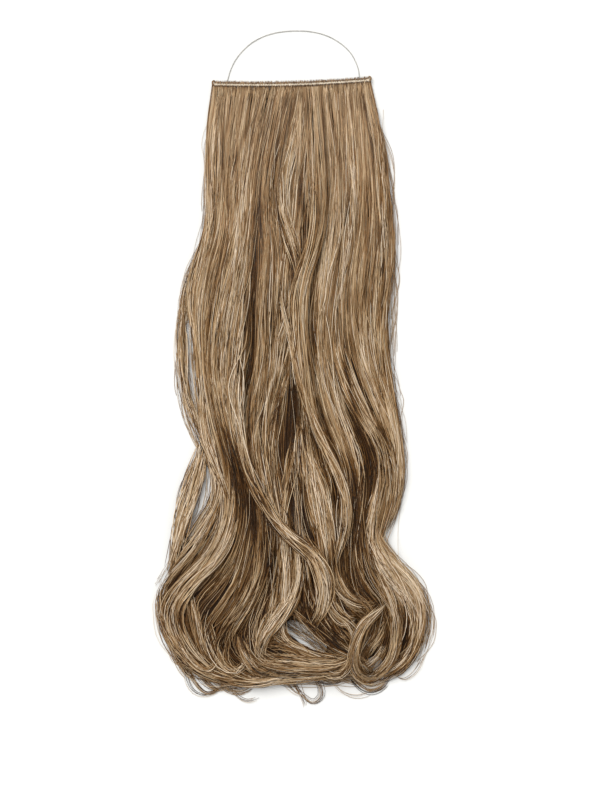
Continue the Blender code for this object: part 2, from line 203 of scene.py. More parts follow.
def headMaterial(name, light, dark):
    # A machine-sewn hair head: short lengths of hair side by side under thread, matte
    made, tree, shader = newMaterial(name)
    spot = addNode(tree, "ShaderNodeTexCoord")
    stretch = addNode(tree, "ShaderNodeMapping", [(spot.outputs["Object"], 0)],
                      Scale=(1600, 160, 160))    # ridges about 0.6 mm apart
    ridges = addNode(tree, "ShaderNodeTexNoise", [(stretch.outputs[0], "Vector")], Scale=1.0, Detail=2.0)
    tones = addNode(tree, "ShaderNodeValToRGB", [(ridges.outputs[0], 0)])
    fillRamp(tones, ((0.35, dark), (0.65, light)))
    relief = addNode(tree, "ShaderNodeBump", [(ridges.outputs[0], "Height")],
                     Strength=0.6, Distance=0.0003)
    setNode(shader, [(tones.outputs[0], "Base Color"), (relief.outputs[0], "Normal")], Roughness=0.65)
    return made


def threadMaterial():
    # Spun polyester sewing thread, slightly glossy, with its twist drawn 0.5 mm apart
    made, tree, shader = newMaterial("spun polyester thread, cream")
    spot = addNode(tree, "ShaderNodeTexCoord")
    twist = addNode(tree, "ShaderNodeTexWave", [(spot.outputs["Object"], "Vector")],
                    Scale=330.0, Distortion=1.0)
    tones = addNode(tree, "ShaderNodeValToRGB", [(twist.outputs[0], 0)])
    fillRamp(tones, ((0.2, "#cfc2ad"), (0.8, "#efe7d8")))
    setNode(shader, [(tones.outputs[0], "Base Color")], Roughness=0.5)
    return made


def nylonMaterial():
    # Clear drawn nylon: smooth and glossy, it lets light through and shows as a pale grey line
    made, tree, shader = newMaterial("clear nylon, drawn")
    spot = addNode(tree, "ShaderNodeTexCoord")
    haze = addNode(tree, "ShaderNodeTexNoise", [(spot.outputs["Object"], "Vector")],
                   Scale=120.0, Detail=1.0)
    tones = addNode(tree, "ShaderNodeValToRGB", [(haze.outputs[0], 0)])
    fillRamp(tones, ((0.35, "#a9a7a3"), (0.65, "#c8c5c0")))
    setNode(shader, [(tones.outputs[0], "Base Color")], Roughness=0.18, IOR=1.53,
            Transmission_Weight=0.35)
    return made


dyedHair = dyedHairMaterial()
hairShadow = hairShadowMaterial()
taupeHead = headMaterial("sewn hair head, taupe", "#786c5f", "#453a30")
creamHead = headMaterial("sewn hair head, cream thread", "#d8ccb8", "#a4927a")
creamThread = threadMaterial()
clearNylon = nylonMaterial()
print("materials made")


# The camera looks straight down, as in the photo, and takes in 0.54 by 0.72 m at the hair's height.

view = {
    "metresPerPixel": 0.0009,
    "pictureWidth": 600,
    "pictureHeight": 800,
    "seamMiddle": (292.5, 83.0),    # the seam's middle, in the picture's own pixels
    "lens": 100,
    "sensor": 36,
    "lookAt": 0.008,                # height above the table at which the scale holds
}


def addCamera():
    deselectAll()
    bpy.ops.object.camera_add()
    camera = bpy.context.object
    camera.name = "camera"
    camera.data.lens = view["lens"]
    camera.data.sensor_width = view["sensor"]
    middleX, middleY = view["seamMiddle"]
    tall = view["pictureHeight"] * view["metresPerPixel"]
    camera.location = ((view["pictureWidth"] / 2 - middleX) * view["metresPerPixel"],
                       seamY - (view["pictureHeight"] / 2 - middleY) * view["metresPerPixel"],
                       view["lookAt"] + tall * view["lens"] / view["sensor"])
    bpy.context.scene.camera = camera


addCamera()


# The wire: a clear nylon thread from one end of the back head round to the other. Its route repeats
# the one that the solids have.

wire = {
    "diameter": 0.0008,
    "span": 0.1195,      # between its two ends
    "reach": 0.0459,     # how far the arch stands out past the seam
    "shift": 0.0008,     # its middle, right of the hair's middle
    "spacing": 0.0024,
}
Knot = namedtuple("Knot", "across up")    # shares of the span from its middle, and of the reach
wireRoute = (
    Knot(-0.500, 0.000), Knot(-0.491, 0.105), Knot(-0.478, 0.215), Knot(-0.457, 0.345), Knot(-0.425, 0.485),
    Knot(-0.383, 0.620), Knot(-0.333, 0.740), Knot(-0.274, 0.840), Knot(-0.207, 0.920), Knot(-0.124, 0.975),
    Knot(-0.048, 0.997), Knot(0.027, 1.000), Knot(0.110, 0.983), Knot(0.194, 0.934), Knot(0.269, 0.856),
    Knot(0.336, 0.750), Knot(0.395, 0.620), Knot(0.441, 0.475), Knot(0.472, 0.315), Knot(0.490, 0.180),
    Knot(0.500, 0.000),
)


def smoothRows(rows, spacing):
    # rows of numbers on one smooth curve through the given ones, evenly spaced along their first two
    rows = np.asarray(rows, dtype=float)
    ends = np.vstack([2 * rows[0] - rows[1], rows, 2 * rows[-1] - rows[-2]])
    t = np.linspace(0, 1, 24, endpoint=False)[:, None]
    fine = []
    for before, start, stop, after in zip(ends, ends[1:], ends[2:], ends[3:]):
        bend = 2 * before - 5 * start + 4 * stop - after
        twist = 3 * start - before - 3 * stop + after
        fine.append(0.5 * (2 * start + (stop - before) * t + bend * t ** 2 + twist * t ** 3))
    fine = np.vstack(fine + [rows[-1:]])
    run = np.concatenate([[0], np.cumsum(np.hypot(*np.diff(fine[:, :2], axis=0).T))])
    even = np.linspace(0, run[-1], max(4, round(run[-1] / spacing) + 1))
    return np.column_stack([np.interp(even, run, column) for column in fine.T]), run[-1]


def addWire():
    marks = []
    for knot in wireRoute:
        x = wire["shift"] + knot.across * wire["span"]
        foot = seamY + layout["headHeight"] + layout["clearance"] + seamWave(x)
        marks.append((x, foot + knot.up * wire["reach"], wire["diameter"] / 2))
    points, length = smoothRows(marks, wire["spacing"])
    line = bpy.data.curves.new("nylon_wire", "CURVE")
    line.dimensions = "3D"
    line.bevel_depth = wire["diameter"] / 2
    line.bevel_resolution = 3
    line.use_fill_caps = True
    spline = line.splines.new("POLY")
    spline.points.add(len(points) - 1)
    for corner, point in zip(spline.points, points):
        corner.co = (*point, 1)
    line.materials.append(clearNylon)
    made = bpy.data.objects.new("nylon_wire", line)
    bpy.context.scene.collection.objects.link(made)
    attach(made, "root")
    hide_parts("halo_wire")
    print("wire laid, mm:", round(1000 * length, 1))


addWire()


# The locks. A knot of a guide holds (across, along, width, tone): across and width are thousandths of
# the hair's width, along is thousandths of its length below the seam, and tone runs from 0, dark, to
# 100, light; low tones where a lock lies under others, as in the deep locks, are painted shade. level
# says what the lock lies on: 0 the table, 1 the mass, 2 other locks, and -1 lies below the rest.

Lock = namedtuple("Lock", "name piece level density guide")
curtain, over, deep, loose = 6.0, 7.0, 4.5, 3.2    # strands to a millimetre of a lock's greatest width

locks = (
    Lock("left edge", "left_curtain", 1, curtain, (
        (-268, 1, 50, 55), (-285, 80, 55, 60), (-288, 150, 55, 60), (-283, 220, 60, 58),
        (-305, 280, 70, 55), (-338, 340, 66, 58), (-342, 400, 48, 55), (-330, 460, 36, 50),
        (-322, 520, 38, 55), (-312, 575, 50, 60), (-285, 620, 50, 62), (-264, 665, 56, 60),
        (-276, 697, 62, 62), (-318, 730, 66, 62), (-365, 762, 62, 60), (-422, 796, 55, 55),
        (-465, 825, 40, 50))),
    Lock("left side", "left_curtain", 1, curtain, (
        (-212, 1, 62, 55), (-234, 100, 62, 58), (-244, 180, 65, 58), (-250, 250, 70, 55),
        (-290, 320, 75, 50), (-318, 380, 66, 50), (-318, 450, 56, 50), (-300, 510, 56, 52),
        (-272, 570, 56, 50), (-236, 630, 55, 50), (-228, 680, 55, 58), (-238, 730, 60, 62),
        (-280, 775, 65, 62), (-345, 810, 65, 60), (-415, 835, 60, 55), (-468, 850, 45, 50))),
    Lock("left fall", "left_curtain", 1, curtain, (
        (-146, 1, 62, 57), (-182, 95, 60, 55), (-202, 175, 62, 55), (-207, 250, 70, 55),
        (-243, 330, 75, 50), (-274, 400, 66, 48), (-280, 465, 62, 50), (-258, 530, 60, 48),
        (-214, 595, 50, 38), (-192, 660, 50, 20), (-180, 710, 50, 25), (-195, 760, 55, 45),
        (-240, 805, 60, 55), (-300, 835, 55, 50), (-370, 855, 45, 35))),
    Lock("left inner", "left_curtain", 1, curtain, (
        (-82, 1, 62, 60), (-120, 85, 60, 50), (-152, 165, 60, 52), (-168, 240, 60, 50),
        (-180, 310, 60, 50), (-212, 380, 65, 54), (-238, 450, 62, 57), (-244, 510, 56, 55),
        (-220, 570, 50, 48), (-185, 630, 50, 25), (-160, 690, 50, 20), (-155, 740, 50, 40),
        (-170, 790, 55, 55), (-205, 840, 60, 60), (-255, 875, 55, 60), (-300, 900, 40, 50))),
    Lock("centre left", "centre_curtain", 1, curtain, (
        (-20, 1, 65, 60), (-62, 80, 60, 46), (-92, 155, 52, 50), (-103, 220, 50, 46), (-95, 280, 60, 50),
        (-100, 340, 70, 52), (-105, 400, 75, 50), (-110, 460, 80, 52), (-130, 530, 80, 55),
        (-138, 590, 75, 55), (-118, 650, 60, 50), (-105, 710, 55, 40), (-108, 770, 55, 35),
        (-135, 825, 55, 50), (-185, 865, 50, 55), (-240, 895, 45, 58), (-272, 925, 40, 55),
        (-278, 955, 40, 50), (-250, 975, 35, 45))),
    Lock("middle fall", "centre_curtain", 1, curtain, (
        (40, 1, 60, 60), (30, 100, 60, 60), (12, 170, 55, 58), (5, 230, 50, 50), (-15, 290, 55, 50),
        (-25, 350, 60, 55), (-30, 410, 60, 50), (-45, 470, 60, 48), (-75, 540, 60, 50),
        (-95, 600, 55, 50), (-85, 650, 50, 50), (-55, 700, 40, 45))),
    Lock("s lock", "centre_curtain", 1, over, (
        (28, 1, 60, 60), (-12, 85, 60, 58), (-42, 160, 55, 60), (-40, 210, 50, 60), (-12, 255, 45, 58),
        (18, 295, 40, 50), (35, 335, 35, 40))),
    Lock("swirl lock", "centre_curtain", 2, curtain, (
        (75, 7, 55, 60), (85, 100, 55, 60), (98, 170, 50, 58), (98, 225, 45, 58), (75, 275, 45, 55),
        (40, 320, 50, 60), (22, 370, 55, 65), (28, 425, 50, 65), (45, 480, 45, 60), (65, 535, 40, 55),
        (95, 585, 35, 55), (130, 625, 30, 50))),
    Lock("centre right", "right_curtain", 1, curtain, (
        (130, 1, 60, 60), (142, 90, 60, 60), (150, 170, 65, 60), (140, 250, 65, 58), (116, 320, 62, 60),
        (102, 390, 62, 55), (108, 460, 66, 58), (142, 530, 70, 60), (190, 590, 64, 55),
        (228, 640, 50, 45), (240, 690, 45, 35), (238, 745, 45, 30), (250, 795, 50, 35),
        (290, 835, 50, 45), (340, 858, 40, 45))),
    Lock("right fall", "right_curtain", 1, curtain, (
        (185, 1, 60, 60), (200, 90, 60, 58), (208, 170, 60, 60), (200, 250, 65, 60), (172, 320, 65, 60),
        (158, 385, 65, 58), (168, 445, 65, 60), (210, 505, 62, 60), (270, 558, 56, 60),
        (330, 605, 48, 58), (366, 648, 42, 55), (370, 685, 40, 55), (346, 718, 38, 60),
        (318, 742, 30, 55))),
    Lock("right inner", "right_curtain", 1, curtain, (
        (235, 1, 55, 60), (252, 90, 58, 55), (266, 170, 60, 55), (265, 245, 65, 55), (242, 315, 66, 55),
        (232, 380, 66, 55), (246, 440, 62, 55), (292, 502, 56, 60), (345, 556, 46, 62),
        (382, 610, 36, 62), (392, 655, 32, 62), (374, 698, 34, 60), (342, 730, 30, 60))),
    Lock("right edge", "right_curtain", 1, curtain, (
        (262, 1, 40, 60), (292, 80, 55, 60), (315, 150, 62, 60), (328, 220, 70, 60), (330, 280, 74, 58),
        (312, 340, 78, 55), (302, 400, 78, 58), (316, 460, 68, 60), (346, 515, 50, 62),
        (368, 560, 36, 64), (388, 610, 28, 66), (396, 650, 24, 66), (380, 698, 26, 65),
        (346, 732, 26, 62), (315, 750, 22, 58))),

    # The deep locks lie below the rest, their low tones painted shade where the mass opens
    Lock("deep centre", "deep_hair", -1, deep, (
        (0, 440, 60, 20), (10, 510, 90, 34), (15, 580, 100, 34), (10, 640, 100, 34), (5, 700, 90, 34),
        (20, 760, 80, 34), (40, 820, 70, 34), (50, 880, 60, 34))),
    Lock("deep left", "deep_hair", -1, deep, (
        (-240, 540, 50, 22), (-210, 610, 80, 34), (-180, 660, 90, 34), (-170, 710, 80, 34),
        (-190, 760, 70, 36), (-240, 810, 60, 20))),
    Lock("deep middle", "deep_hair", -1, deep, (
        (-90, 680, 50, 36), (-80, 740, 60, 34), (-80, 800, 70, 34), (-110, 850, 80, 34),
        (-160, 890, 80, 34), (-220, 920, 70, 34), (-250, 950, 60, 36))),
    Lock("deep right", "deep_hair", -1, deep, (
        (250, 550, 50, 36), (280, 600, 80, 34), (300, 640, 90, 34), (270, 690, 80, 34),
        (240, 740, 80, 36), (240, 790, 90, 20), (270, 840, 90, 25), (320, 870, 70, 20))),
    Lock("deep right line", "deep_hair", -1, deep, (
        (160, 600, 60, 36), (200, 660, 70, 34), (205, 720, 70, 34), (190, 780, 70, 36),
        (160, 840, 70, 36), (140, 890, 80, 34), (180, 925, 70, 34))),
    Lock("deep left curl", "deep_hair", -1, deep, (
        (-440, 850, 50, 36), (-420, 890, 80, 34), (-380, 925, 90, 34), (-320, 950, 80, 36),
        (-240, 965, 60, 25))),
    Lock("deep ring", "deep_hair", -1, deep, (
        (430, 860, 50, 20), (432, 900, 50, 36), (414, 935, 40, 22), (382, 960, 30, 32))),

    Lock("outer left wisp", "end_curls_left", 0, over, (
        (-300, 260, 20, 60), (-345, 290, 25, 60), (-384, 335, 26, 62), (-404, 390, 16, 64),
        (-410, 440, 9, 70), (-404, 480, 8, 70), (-388, 520, 9, 68), (-364, 552, 12, 66),
        (-335, 582, 16, 64), (-305, 612, 16, 60))),
    Lock("wisp over the mass", "end_curls_left", 1.5, over, (
        (-370, 535, 10, 64), (-345, 562, 18, 66), (-314, 598, 26, 64), (-276, 638, 26, 62),
        (-243, 675, 20, 58), (-222, 705, 14, 52))),
    Lock("left flank", "left_curtain", 1, curtain, (
        (-290, 222, 20, 55), (-325, 270, 36, 57), (-354, 310, 42, 57), (-367, 350, 42, 56),
        (-366, 390, 26, 52), (-356, 430, 12, 50), (-346, 474, 10, 50), (-335, 505, 10, 50),
        (-322, 545, 10, 50))),
    Lock("lower left lock", "end_curls_left", 0.9, over, (
        (-318, 575, 30, 58), (-343, 620, 40, 68), (-368, 660, 56, 74), (-396, 700, 48, 74),
        (-420, 745, 38, 70), (-437, 782, 26, 64), (-454, 812, 22, 56))),
    Lock("left edge fold", "end_curls_left", 1, over, (
        (-440, 815, 30, 50), (-475, 835, 35, 50), (-478, 865, 40, 42), (-455, 900, 45, 40),
        (-415, 930, 45, 42), (-365, 955, 45, 48), (-300, 972, 45, 52), (-220, 980, 45, 55),
        (-140, 985, 35, 50))),
    Lock("left under", "end_curls_left", 1, over, (
        (-430, 850, 25, 25), (-425, 880, 30, 30), (-395, 915, 30, 32), (-350, 945, 35, 38),
        (-290, 965, 35, 45))),
    Lock("left hanging", "end_curls_left", 1, over, (
        (-378, 838, 25, 55), (-364, 870, 30, 62), (-352, 905, 28, 60), (-330, 940, 28, 52),
        (-285, 965, 30, 50))),
    Lock("hollow fan", "end_curls_left", 1, over, (
        (-205, 905, 15, 30), (-190, 930, 25, 50), (-160, 955, 35, 55), (-120, 975, 40, 50))),
    Lock("base sweep left", "end_curls_left", 1, over, (
        (-290, 978, 20, 50), (-200, 986, 30, 60), (-120, 986, 35, 62), (-40, 980, 40, 60),
        (40, 978, 40, 60), (120, 970, 40, 58), (200, 965, 30, 50))),
    Lock("base dark", "end_curls_left", 1, over, (
        (-130, 930, 40, 22), (-60, 925, 50, 25), (0, 935, 50, 28), (60, 948, 45, 32),
        (120, 955, 35, 35))),
    Lock("base sweep", "end_curls_left", 1, over, (
        (-150, 945, 30, 45), (-70, 955, 50, 45), (20, 960, 55, 50), (100, 962, 50, 50),
        (170, 958, 40, 45), (225, 945, 30, 40))),
    Lock("centre curl", "centre_curls", 1, over, (
        (-75, 670, 20, 45), (-50, 720, 30, 58), (-28, 770, 40, 62), (-18, 815, 50, 60),
        (-35, 855, 60, 65), (-75, 890, 60, 62), (-110, 920, 45, 60), (-120, 945, 30, 55),
        (-100, 965, 25, 50))),
    Lock("bright curl", "centre_curls", 2, over, (
        (0, 745, 15, 50), (20, 785, 25, 60), (12, 825, 40, 70), (-20, 860, 45, 72), (-65, 890, 40, 70),
        (-105, 915, 30, 65), (-120, 940, 25, 60))),
    Lock("belly lock", "centre_curls", 1, over, (
        (35, 575, 25, 45), (55, 620, 50, 60), (85, 665, 75, 65), (110, 710, 75, 65), (130, 755, 55, 60),
        (140, 790, 30, 50))),
    Lock("centre sweep", "centre_curls", 1.4, over, (
        (6, 410, 12, 48), (-8, 450, 20, 54), (-36, 500, 28, 56), (-72, 545, 32, 56), (-100, 590, 32, 54),
        (-112, 640, 28, 50), (-106, 690, 20, 46))),
    Lock("centre sweep low", "centre_curls", 1.4, over, (
        (46, 535, 12, 46), (22, 580, 22, 52), (-8, 630, 28, 54), (-28, 680, 28, 52), (-36, 730, 22, 50),
        (-30, 775, 16, 46))),
    Lock("centre sweep high", "centre_curls", 1.4, over, (
        (0, 350, 10, 50), (-26, 392, 18, 54), (-52, 440, 22, 56), (-66, 490, 22, 54),
        (-70, 535, 16, 50))),
    Lock("thin crossing", "centre_curls", 1.6, over, (
        (-48, 320, 12, 56), (-35, 370, 16, 60), (-8, 415, 18, 60), (15, 460, 18, 60), (40, 505, 18, 58),
        (75, 555, 22, 56), (120, 600, 27, 58), (165, 640, 30, 60), (198, 685, 30, 60), (200, 730, 28, 60),
        (180, 770, 24, 60), (160, 800, 18, 56))),
    Lock("crossing lock", "centre_curls", 1.7, over, (
        (-165, 290, 18, 52), (-172, 350, 30, 60), (-190, 420, 40, 63), (-206, 480, 44, 64),
        (-210, 530, 42, 63), (-194, 585, 36, 62), (-162, 640, 34, 62), (-115, 685, 32, 61),
        (-60, 725, 28, 61), (0, 752, 30, 62), (60, 775, 38, 65), (102, 802, 46, 66), (120, 835, 48, 66),
        (112, 868, 42, 62), (80, 895, 30, 54))),
    Lock("centre fold", "centre_curls", 1.9, over, (
        (20, 735, 20, 54), (62, 768, 36, 62), (98, 800, 46, 66), (117, 835, 48, 67), (108, 868, 42, 63),
        (82, 895, 32, 58), (48, 915, 20, 50))),
    Lock("outer curl", "end_curls_right", 1, over, (
        (345, 615, 25, 40), (322, 650, 45, 62), (300, 690, 55, 72), (287, 730, 50, 68),
        (305, 770, 65, 76), (360, 810, 90, 83), (420, 845, 95, 85), (448, 885, 75, 72),
        (438, 925, 55, 50), (402, 955, 45, 50), (345, 975, 40, 55), (290, 985, 30, 60))),
    Lock("inner ring", "end_curls_right", 1, over, (
        (300, 790, 25, 50), (335, 825, 35, 55), (365, 860, 38, 55), (380, 895, 38, 55),
        (376, 930, 35, 55), (350, 960, 30, 60), (300, 980, 26, 65), (260, 984, 22, 65))),
    Lock("ring fill", "end_curls_right", 1, over, (
        (335, 885, 30, 30), (310, 905, 50, 50), (280, 925, 50, 60), (258, 945, 30, 66))),
    Lock("ring tip", "end_curls_right", 2, over, (
        (350, 855, 16, 60), (310, 870, 26, 66), (262, 890, 30, 64), (230, 925, 30, 60),
        (222, 958, 28, 58), (245, 980, 26, 60), (290, 988, 28, 60), (340, 975, 28, 56))),
    Lock("ring hollow", "end_curls_right", 1, over, (
        (355, 868, 16, 50), (325, 888, 26, 46), (285, 912, 26, 48), (250, 938, 18, 54),
        (235, 962, 14, 58), (262, 984, 14, 58), (310, 986, 14, 58))),
    Lock("fan upper", "end_curls_right", 1, over, (
        (155, 790, 20, 45), (170, 825, 35, 52), (205, 850, 42, 56), (260, 862, 35, 50),
        (330, 858, 20, 40))),
    Lock("fan lower", "end_curls_right", 1, over, (
        (130, 830, 20, 40), (155, 865, 35, 45), (195, 885, 40, 45), (250, 885, 30, 40))),
    Lock("fan deep", "end_curls_right", 1, over, (
        (110, 870, 25, 22), (140, 900, 35, 28), (190, 920, 35, 28), (215, 925, 25, 25))),

    Lock("loose left", "loose_hair", 0, loose, (
        (-300, 300, 10, 60), (-372, 335, 14, 60), (-414, 400, 14, 62), (-420, 470, 18, 62),
        (-402, 530, 22, 60), (-366, 578, 20, 60), (-325, 618, 14, 60), (-290, 655, 10, 58))),
    Lock("loose right", "loose_hair", 0, loose, (
        (345, 480, 10, 62), (380, 540, 10, 62), (402, 600, 8, 64), (402, 650, 8, 64),
        (375, 700, 10, 60))),
    Lock("loose loop left", "loose_hair", 0, loose, (
        (-435, 915, 15, 50), (-400, 957, 12, 52), (-365, 992, 10, 55), (-322, 1010, 8, 55),
        (-280, 1006, 10, 55), (-245, 992, 12, 55))),
    Lock("loose loop middle", "loose_hair", 0, loose, (
        (20, 955, 10, 55), (65, 975, 9, 55), (98, 996, 7, 55), (104, 1014, 7, 55), (74, 1024, 7, 55),
        (34, 1010, 8, 55), (-5, 985, 10, 55))),
    Lock("loose end middle", "loose_hair", 0, loose, (
        (-60, 970, 10, 55), (-24, 992, 8, 55), (10, 1008, 6, 55), (40, 1014, 6, 55))),
    Lock("loose end right", "loose_hair", 0, loose, (
        (110, 955, 12, 55), (165, 978, 12, 55), (220, 990, 10, 55), (275, 992, 8, 55))),
    Lock("loose end left", "loose_hair", 0, loose, (
        (-150, 970, 10, 55), (-195, 990, 10, 55), (-240, 999, 8, 55), (-285, 999, 7, 55))),
    Lock("gap crossing", "loose_hair", 1, loose, (
        (-60, 875, 14, 46), (-10, 896, 20, 44), (45, 914, 18, 44), (100, 932, 14, 44),
        (160, 948, 10, 45))),
    Lock("gap ring veil", "loose_hair", 1, loose, (
        (212, 962, 14, 52), (250, 966, 26, 52), (285, 960, 30, 52), (318, 946, 28, 50),
        (345, 922, 18, 50))),
    Lock("gap upper edge", "loose_hair", 1, curtain, (
        (-60, 845, 18, 40), (-10, 868, 20, 36), (50, 886, 20, 34), (110, 912, 20, 36),
        (170, 940, 18, 40))),
    Lock("gap lower edge", "loose_hair", 1, curtain, (
        (-100, 892, 22, 50), (-45, 918, 24, 48), (10, 936, 24, 46), (70, 950, 22, 46),
        (140, 960, 20, 46))),
    Lock("end 1", "loose_hair", 0, loose, (
        (-450, 895, 22, 50), (-436, 935, 24, 50), (-405, 970, 22, 50), (-362, 990, 16, 50))),
    Lock("end 2", "loose_hair", 0, loose, (
        (-362, 930, 25, 50), (-346, 965, 28, 52), (-315, 992, 24, 52), (-275, 1004, 18, 50),
        (-238, 998, 12, 50))),
    Lock("end 3", "loose_hair", 0, loose, (
        (-300, 950, 25, 50), (-270, 982, 28, 54), (-230, 1002, 26, 54), (-182, 1004, 20, 52),
        (-142, 996, 16, 52))),
    Lock("end 4", "loose_hair", 0, loose, (
        (-200, 955, 25, 50), (-178, 978, 26, 54), (-145, 992, 22, 54), (-100, 995, 18, 52),
        (-62, 986, 12, 50))),
    Lock("end 5", "loose_hair", 0, loose, (
        (-100, 960, 25, 50), (-60, 982, 26, 54), (-15, 993, 22, 54), (30, 990, 14, 50))),
    Lock("end 6", "loose_hair", 0, loose, (
        (50, 955, 25, 50), (92, 978, 26, 54), (135, 989, 22, 54), (180, 986, 16, 52),
        (212, 972, 12, 50))),
    Lock("lone hair 1", "loose_hair", 0, loose, (
        (-400, 965, 4, 48), (-375, 1000, 5, 48), (-335, 1012, 5, 48), (-290, 1008, 5, 48),
        (-262, 995, 3, 48))),
    Lock("lone hair 2", "loose_hair", 0, loose, (
        (-240, 985, 4, 48), (-215, 1010, 5, 48), (-170, 1022, 5, 48), (-120, 1016, 4, 48))),
    Lock("lone hair 3", "loose_hair", 0, loose, (
        (0, 985, 4, 46), (30, 1012, 5, 46), (45, 1030, 4, 46), (40, 1038, 3, 46))),
    Lock("lone hair 4", "loose_hair", 0, loose, (
        (140, 980, 4, 48), (185, 1005, 5, 48), (240, 1014, 5, 48), (300, 1008, 4, 48))),
    Lock("lone hair 5", "loose_hair", 0, loose, (
        (360, 975, 4, 48), (410, 985, 5, 48), (455, 970, 4, 48), (490, 940, 3, 48))),
    Lock("lone hair 6", "loose_hair", 0, loose, (
        (470, 850, 4, 50), (500, 870, 4, 50), (508, 900, 4, 50), (495, 930, 3, 50))),
    Lock("end 7", "loose_hair", 0, loose, (
        (200, 955, 25, 54), (236, 986, 26, 58), (282, 1002, 22, 58), (330, 996, 18, 56),
        (368, 975, 14, 54))),
    Lock("end 8", "loose_hair", 0, loose, (
        (340, 950, 20, 56), (382, 975, 22, 58), (422, 960, 20, 58), (452, 928, 14, 56))),
    Lock("hook left", "loose_hair", 1.2, over, (
        (-425, 895, 16, 48), (-398, 935, 22, 49), (-348, 966, 26, 50), (-300, 972, 24, 50),
        (-272, 952, 18, 52), (-268, 925, 12, 46))),
    Lock("hook inner left", "loose_hair", 1.2, over, (
        (-318, 870, 14, 46), (-300, 915, 20, 52), (-262, 955, 26, 50), (-212, 972, 24, 50),
        (-172, 955, 18, 52), (-160, 930, 12, 46))),
    Lock("hook middle", "loose_hair", 1.2, over, (
        (-205, 900, 14, 46), (-180, 940, 22, 52), (-135, 968, 26, 50), (-85, 972, 22, 49),
        (-50, 950, 14, 50))),
    Lock("hook right", "loose_hair", 1.2, over, (
        (60, 945, 14, 46), (110, 968, 22, 49), (165, 976, 22, 50), (208, 958, 18, 49),
        (222, 930, 12, 48))),
    Lock("hook edge left", "loose_hair", 1.2, over, (
        (-470, 845, 14, 50), (-462, 885, 18, 52), (-440, 920, 18, 49), (-400, 945, 16, 52),
        (-360, 950, 12, 48))),
    Lock("ring strands", "loose_hair", 2, loose, (
        (140, 800, 12, 60), (162, 832, 14, 66), (205, 852, 14, 66), (262, 862, 12, 62),
        (330, 857, 10, 55))),
    Lock("hanging u", "loose_hair", 2, loose, (
        (112, 840, 10, 60), (138, 872, 12, 66), (185, 890, 12, 66), (240, 880, 8, 60))),
    Lock("bottom left sweep", "loose_hair", 2, loose, (
        (-488, 855, 15, 60), (-472, 900, 20, 62), (-430, 940, 22, 62), (-370, 968, 22, 62),
        (-300, 984, 20, 62), (-200, 994, 18, 60), (-110, 998, 12, 60))),
)
